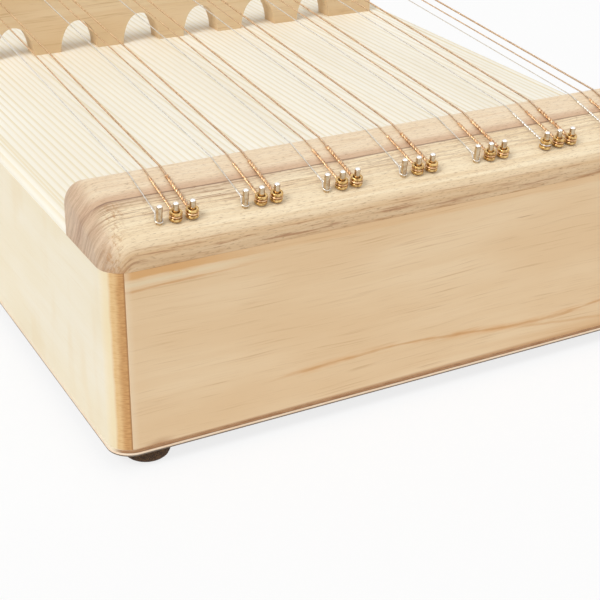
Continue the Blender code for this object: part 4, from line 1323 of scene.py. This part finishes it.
def coil_line(index):
    """The coil on the tuning pin, wound clockwise upwards, that climbs to the eye at last."""
    radius = STRING_RADII[string_place(index)[1]]
    place = PIN_PLACES[index]
    reach = TUNING_RADIUS + COIL_CLEARANCE + radius
    pitch = 2.08 * radius
    count = round(COIL_TURNS * COIL_STEPS)
    climb_steps = COIL_STEPS * 5 // 16
    points = []
    for step in range(count + 1):
        angle = math.pi - 2 * math.pi * step / COIL_STEPS
        climb = max(0.0, 1 - (count - step) / climb_steps)
        rise = EYE_HEIGHT - COIL_BELOW_EYE * (1 - climb ** 2)
        rise -= pitch * (count - step) / COIL_STEPS
        points.append(place + Vector((reach * math.cos(angle), reach * math.sin(angle), rise)))
    mouth = place + Vector((PAST_EYE, reach, EYE_HEIGHT))
    return points + [mouth]


def string_line(index, start):
    """A string's middle line from a start behind its fitting to the eye of its pin."""
    rank, x = string_place(index)[1:]
    radius = STRING_RADII[rank]
    reach = CREST_RADIUS + TOUCH + radius
    crest_y = HITCH_DEPTH - CREST_RADIUS - END
    crest_z = DECK + RAIL_HEIGHT - CREST_RADIUS
    far_y = END - TUNING_DEPTH + CREST_RADIUS
    coil = coil_line(index)
    ridge_z = BRIDGE_TOP - NOTCH_DEPTH + TOUCH - BRIDGE_RIDGE
    ridge_reach = BRIDGE_RIDGE + radius
    rise_in = math.atan2(crest_z + reach - start.z, crest_y - start.y)
    climb = math.atan2(ridge_z + ridge_reach - crest_z - reach, -crest_y)
    fall = math.atan2(ridge_z + ridge_reach - crest_z - reach, far_y)
    drop = math.atan2(crest_z + reach - coil[0].z, coil[0].y - far_y)
    line = [start]
    line += bend(x, crest_y, crest_z, reach, (rise_in, climb))
    line += bend(x, 0.0, ridge_z, ridge_reach, (climb, -fall))
    line += bend(x, far_y, crest_z, reach, (-fall, -drop))
    return line + coil


def part_of(line, start, end=None):
    """The stretch of a line between two distances along it."""
    points, done = [], 0.0
    for first, second in zip(line, line[1:]):
        length = (second - first).length
        if done + length > start and (end is None or done < end):
            if not points:
                points.append(first.lerp(second, max(0.0, (start - done) / length)))
            if end is not None and done + length > end:
                points.append(first.lerp(second, (end - done) / length))
                break
            points.append(second)
        done += length
    return points


# %% [markdown]
# ## Strings
# A plain string is a steel wire with a twisted loop round its pin. A wound string has a
# steel core, a bronze winding, and a lock: behind its ball the wire is doubled back and
# twisted round itself like a rope for eighteen millimetres. The core lies inside its
# winding all the way.

# %% Wound strings
LOCK_LENGTH = 18.0 * MM
LOCK_RADII = (0.4 * MM, 0.52 * MM, 0.68 * MM)
LOCK_PITCH = 3.0 * MM
GROOVE_WIRE = (0.26 * MM, 0.3 * MM, 0.36 * MM)
WINDING_PITCH = (0.3 * MM, 0.36 * MM, 0.46 * MM)
GROOVE_START = 55
GROOVE_SWEEP = 290
GROOVE_STEPS = 24


def groove_line(index, thick, start):
    """A wire from the lock, once round the ball's groove and back."""
    middle = ball_middle(index)
    reach = GROOVE_RADIUS + thick * 0.8
    line = [start + AWAY * thick * 0.5]
    for step in range(GROOVE_STEPS + 1):
        angle = math.radians(GROOVE_START) - math.radians(GROOVE_SWEEP) * step / GROOVE_STEPS
        along = AWAY * math.cos(angle)
        behind = BALL_BACK * math.sin(angle)
        line.append(middle + (along + behind) * reach)
    line.append(start - AWAY * thick * 0.5)
    return line


def lock_meshes(line, thick, material):
    """The twisted lock: two strands round the string."""
    along = part_of(line, 0.0, LOCK_LENGTH)
    strands = []
    for start in (0.0, 0.5):
        strands.append(grow(WINDING, line_mesh([along]), {
            "Pitch": LOCK_PITCH,
            "Reach": thick * 0.5,
            "Wire Radius": thick * 0.52,
            "Points Per Turn": 16.0,
            "Start": start,
            "Sides": 8,
            "Material": material,
        }))
    return strands


def ball_string(index):
    rank = string_place(index)[1]
    radius = STRING_RADII[rank]
    start = ball_middle(index) + BALL_BACK * (BALL_RADIUS + 0.35 * MM) + PIN_AXIS * 0.2 * MM
    line = string_line(index, start)
    wound = rank > 0
    metal = LOCK_WIRE if wound else WIRE_STEEL
    core = radius * (0.62 if wound else 1.0)
    meshes = [grow(WIRE, line_mesh([line], [core]), {"Sides": 8, "Material": WIRE_STEEL})]
    thick = GROOVE_WIRE[rank]
    round_groove = groove_line(index, thick, start)
    meshes.append(grow(WIRE, line_mesh([round_groove], [thick]), {"Sides": 8, "Material": metal}))
    meshes += lock_meshes(line, LOCK_RADII[rank], metal)
    if wound:
        turns = part_of(line, LOCK_LENGTH - 1.0 * MM)
        wire = radius * 0.24
        meshes.append(grow(WINDING, line_mesh([turns]), {
            "Pitch": WINDING_PITCH[rank],
            "Reach": radius - wire,
            "Wire Radius": wire,
            "Points Per Turn": 6.0,
            "Start": 0.0,
            "Sides": 4,
            "Material": BRONZE,
        }))
    return meshes


# %% Loop strings
LOOP_WIDTH = 1.26 * MM
LOOP_LENGTH = 4.2 * MM
LOOP_TILT = math.radians(26.0)
LOOP_START = 25
LOOP_SWEEP = 230
LOOP_STEPS = 20
TWIST_LENGTH = 3.6 * MM
TWIST_PITCH = 1.3 * MM


def loop_string(index):
    radius = STRING_RADII[0]
    base = pin_base(index)
    back_up = Vector((0, math.cos(LOOP_TILT), math.sin(LOOP_TILT)))
    middle = base + PIN_AXIS * 1.25 * MM
    start = middle + back_up * (LOOP_LENGTH - LOOP_WIDTH)
    line = string_line(index, start)
    loop = [start + AWAY * radius]
    for step in range(LOOP_STEPS + 1):
        angle = math.radians(LOOP_START - LOOP_SWEEP * step / LOOP_STEPS)
        loop.append(middle + (AWAY * math.cos(angle) + back_up * math.sin(angle)) * LOOP_WIDTH)
    loop.append(start - AWAY * radius)
    meshes = [grow(WIRE, line_mesh([line, loop], [radius, radius]), {
        "Sides": 8, "Material": WIRE_STEEL})]
    twist = part_of(line, 0.0, TWIST_LENGTH)
    for phase in (0.0, 0.5):
        meshes.append(grow(WINDING, line_mesh([twist]), {
            "Pitch": TWIST_PITCH,
            "Reach": radius * 1.1,
            "Wire Radius": radius * 0.95,
            "Points Per Turn": 14.0,
            "Start": phase,
            "Sides": 6,
            "Material": WIRE_STEEL,
        }))
    return meshes


total = 0
for index in range(COUNT):
    number = "%02d" % (index + 1)
    rank = string_place(index)[1]
    meshes = ball_string(index) if has_ball(index) else loop_string(index)
    kind = "wound_string_" if rank else "plain_string_"
    piece = as_piece(meshes, kind + number)
    dress(piece, "string_bronze" if rank else "string_steel", "string_" + number)
    total += len(piece.data.polygons)
print("%d strings, %d faces in all" % (COUNT, total))

# %% [markdown]
# ## Ends in the eyes
# The last of each string goes through the eye of its pin and sticks out a little on the
# near side, bent up. It turns with the pin, so it is a piece of its own on that body.

# %% String tails
# Each pair is a place along the eye, from the far mouth to the near one, and a rise above it
TAIL_RUN = ((2.3, 0.0), (-2.35, 0.0), (-2.65, 0.25), (-2.95, 0.7), (-3.1, 1.3))
for index, place in enumerate(PIN_PLACES):
    number = "%02d" % (index + 1)
    rank = string_place(index)[1]
    radius = STRING_RADII[rank] * (0.7 if rank else 1.0)
    line = [place + Vector((0, y * MM, EYE_HEIGHT + z * MM)) for y, z in TAIL_RUN]
    metal = BRONZE if rank else WIRE_STEEL
    tail = grow(WIRE, line_mesh([line], [radius]), {"Sides": 8, "Material": metal})
    slot = "string_bronze" if rank else "string_steel"
    dress(as_piece([tail], "tail_" + number), slot, body="pin_" + number)
print(COUNT, "tails")

# %% [markdown]
# ## Inside the box
# The blocks and bars keep their solids, and only get their wood.

# %% Materials for the hidden wood
for node, material in (
    ("hitch_block", BEECH),
    ("tuning_block", BEECH),
    ("soundboard_brace_front", SPRUCE),
    ("soundboard_brace_back", SPRUCE),
    ("bottom_brace", SPRUCE),
):
    slots = frame["nodes"][node].data.materials
    slots.clear()
    slots.append(material)
print("Blocks and bars painted")
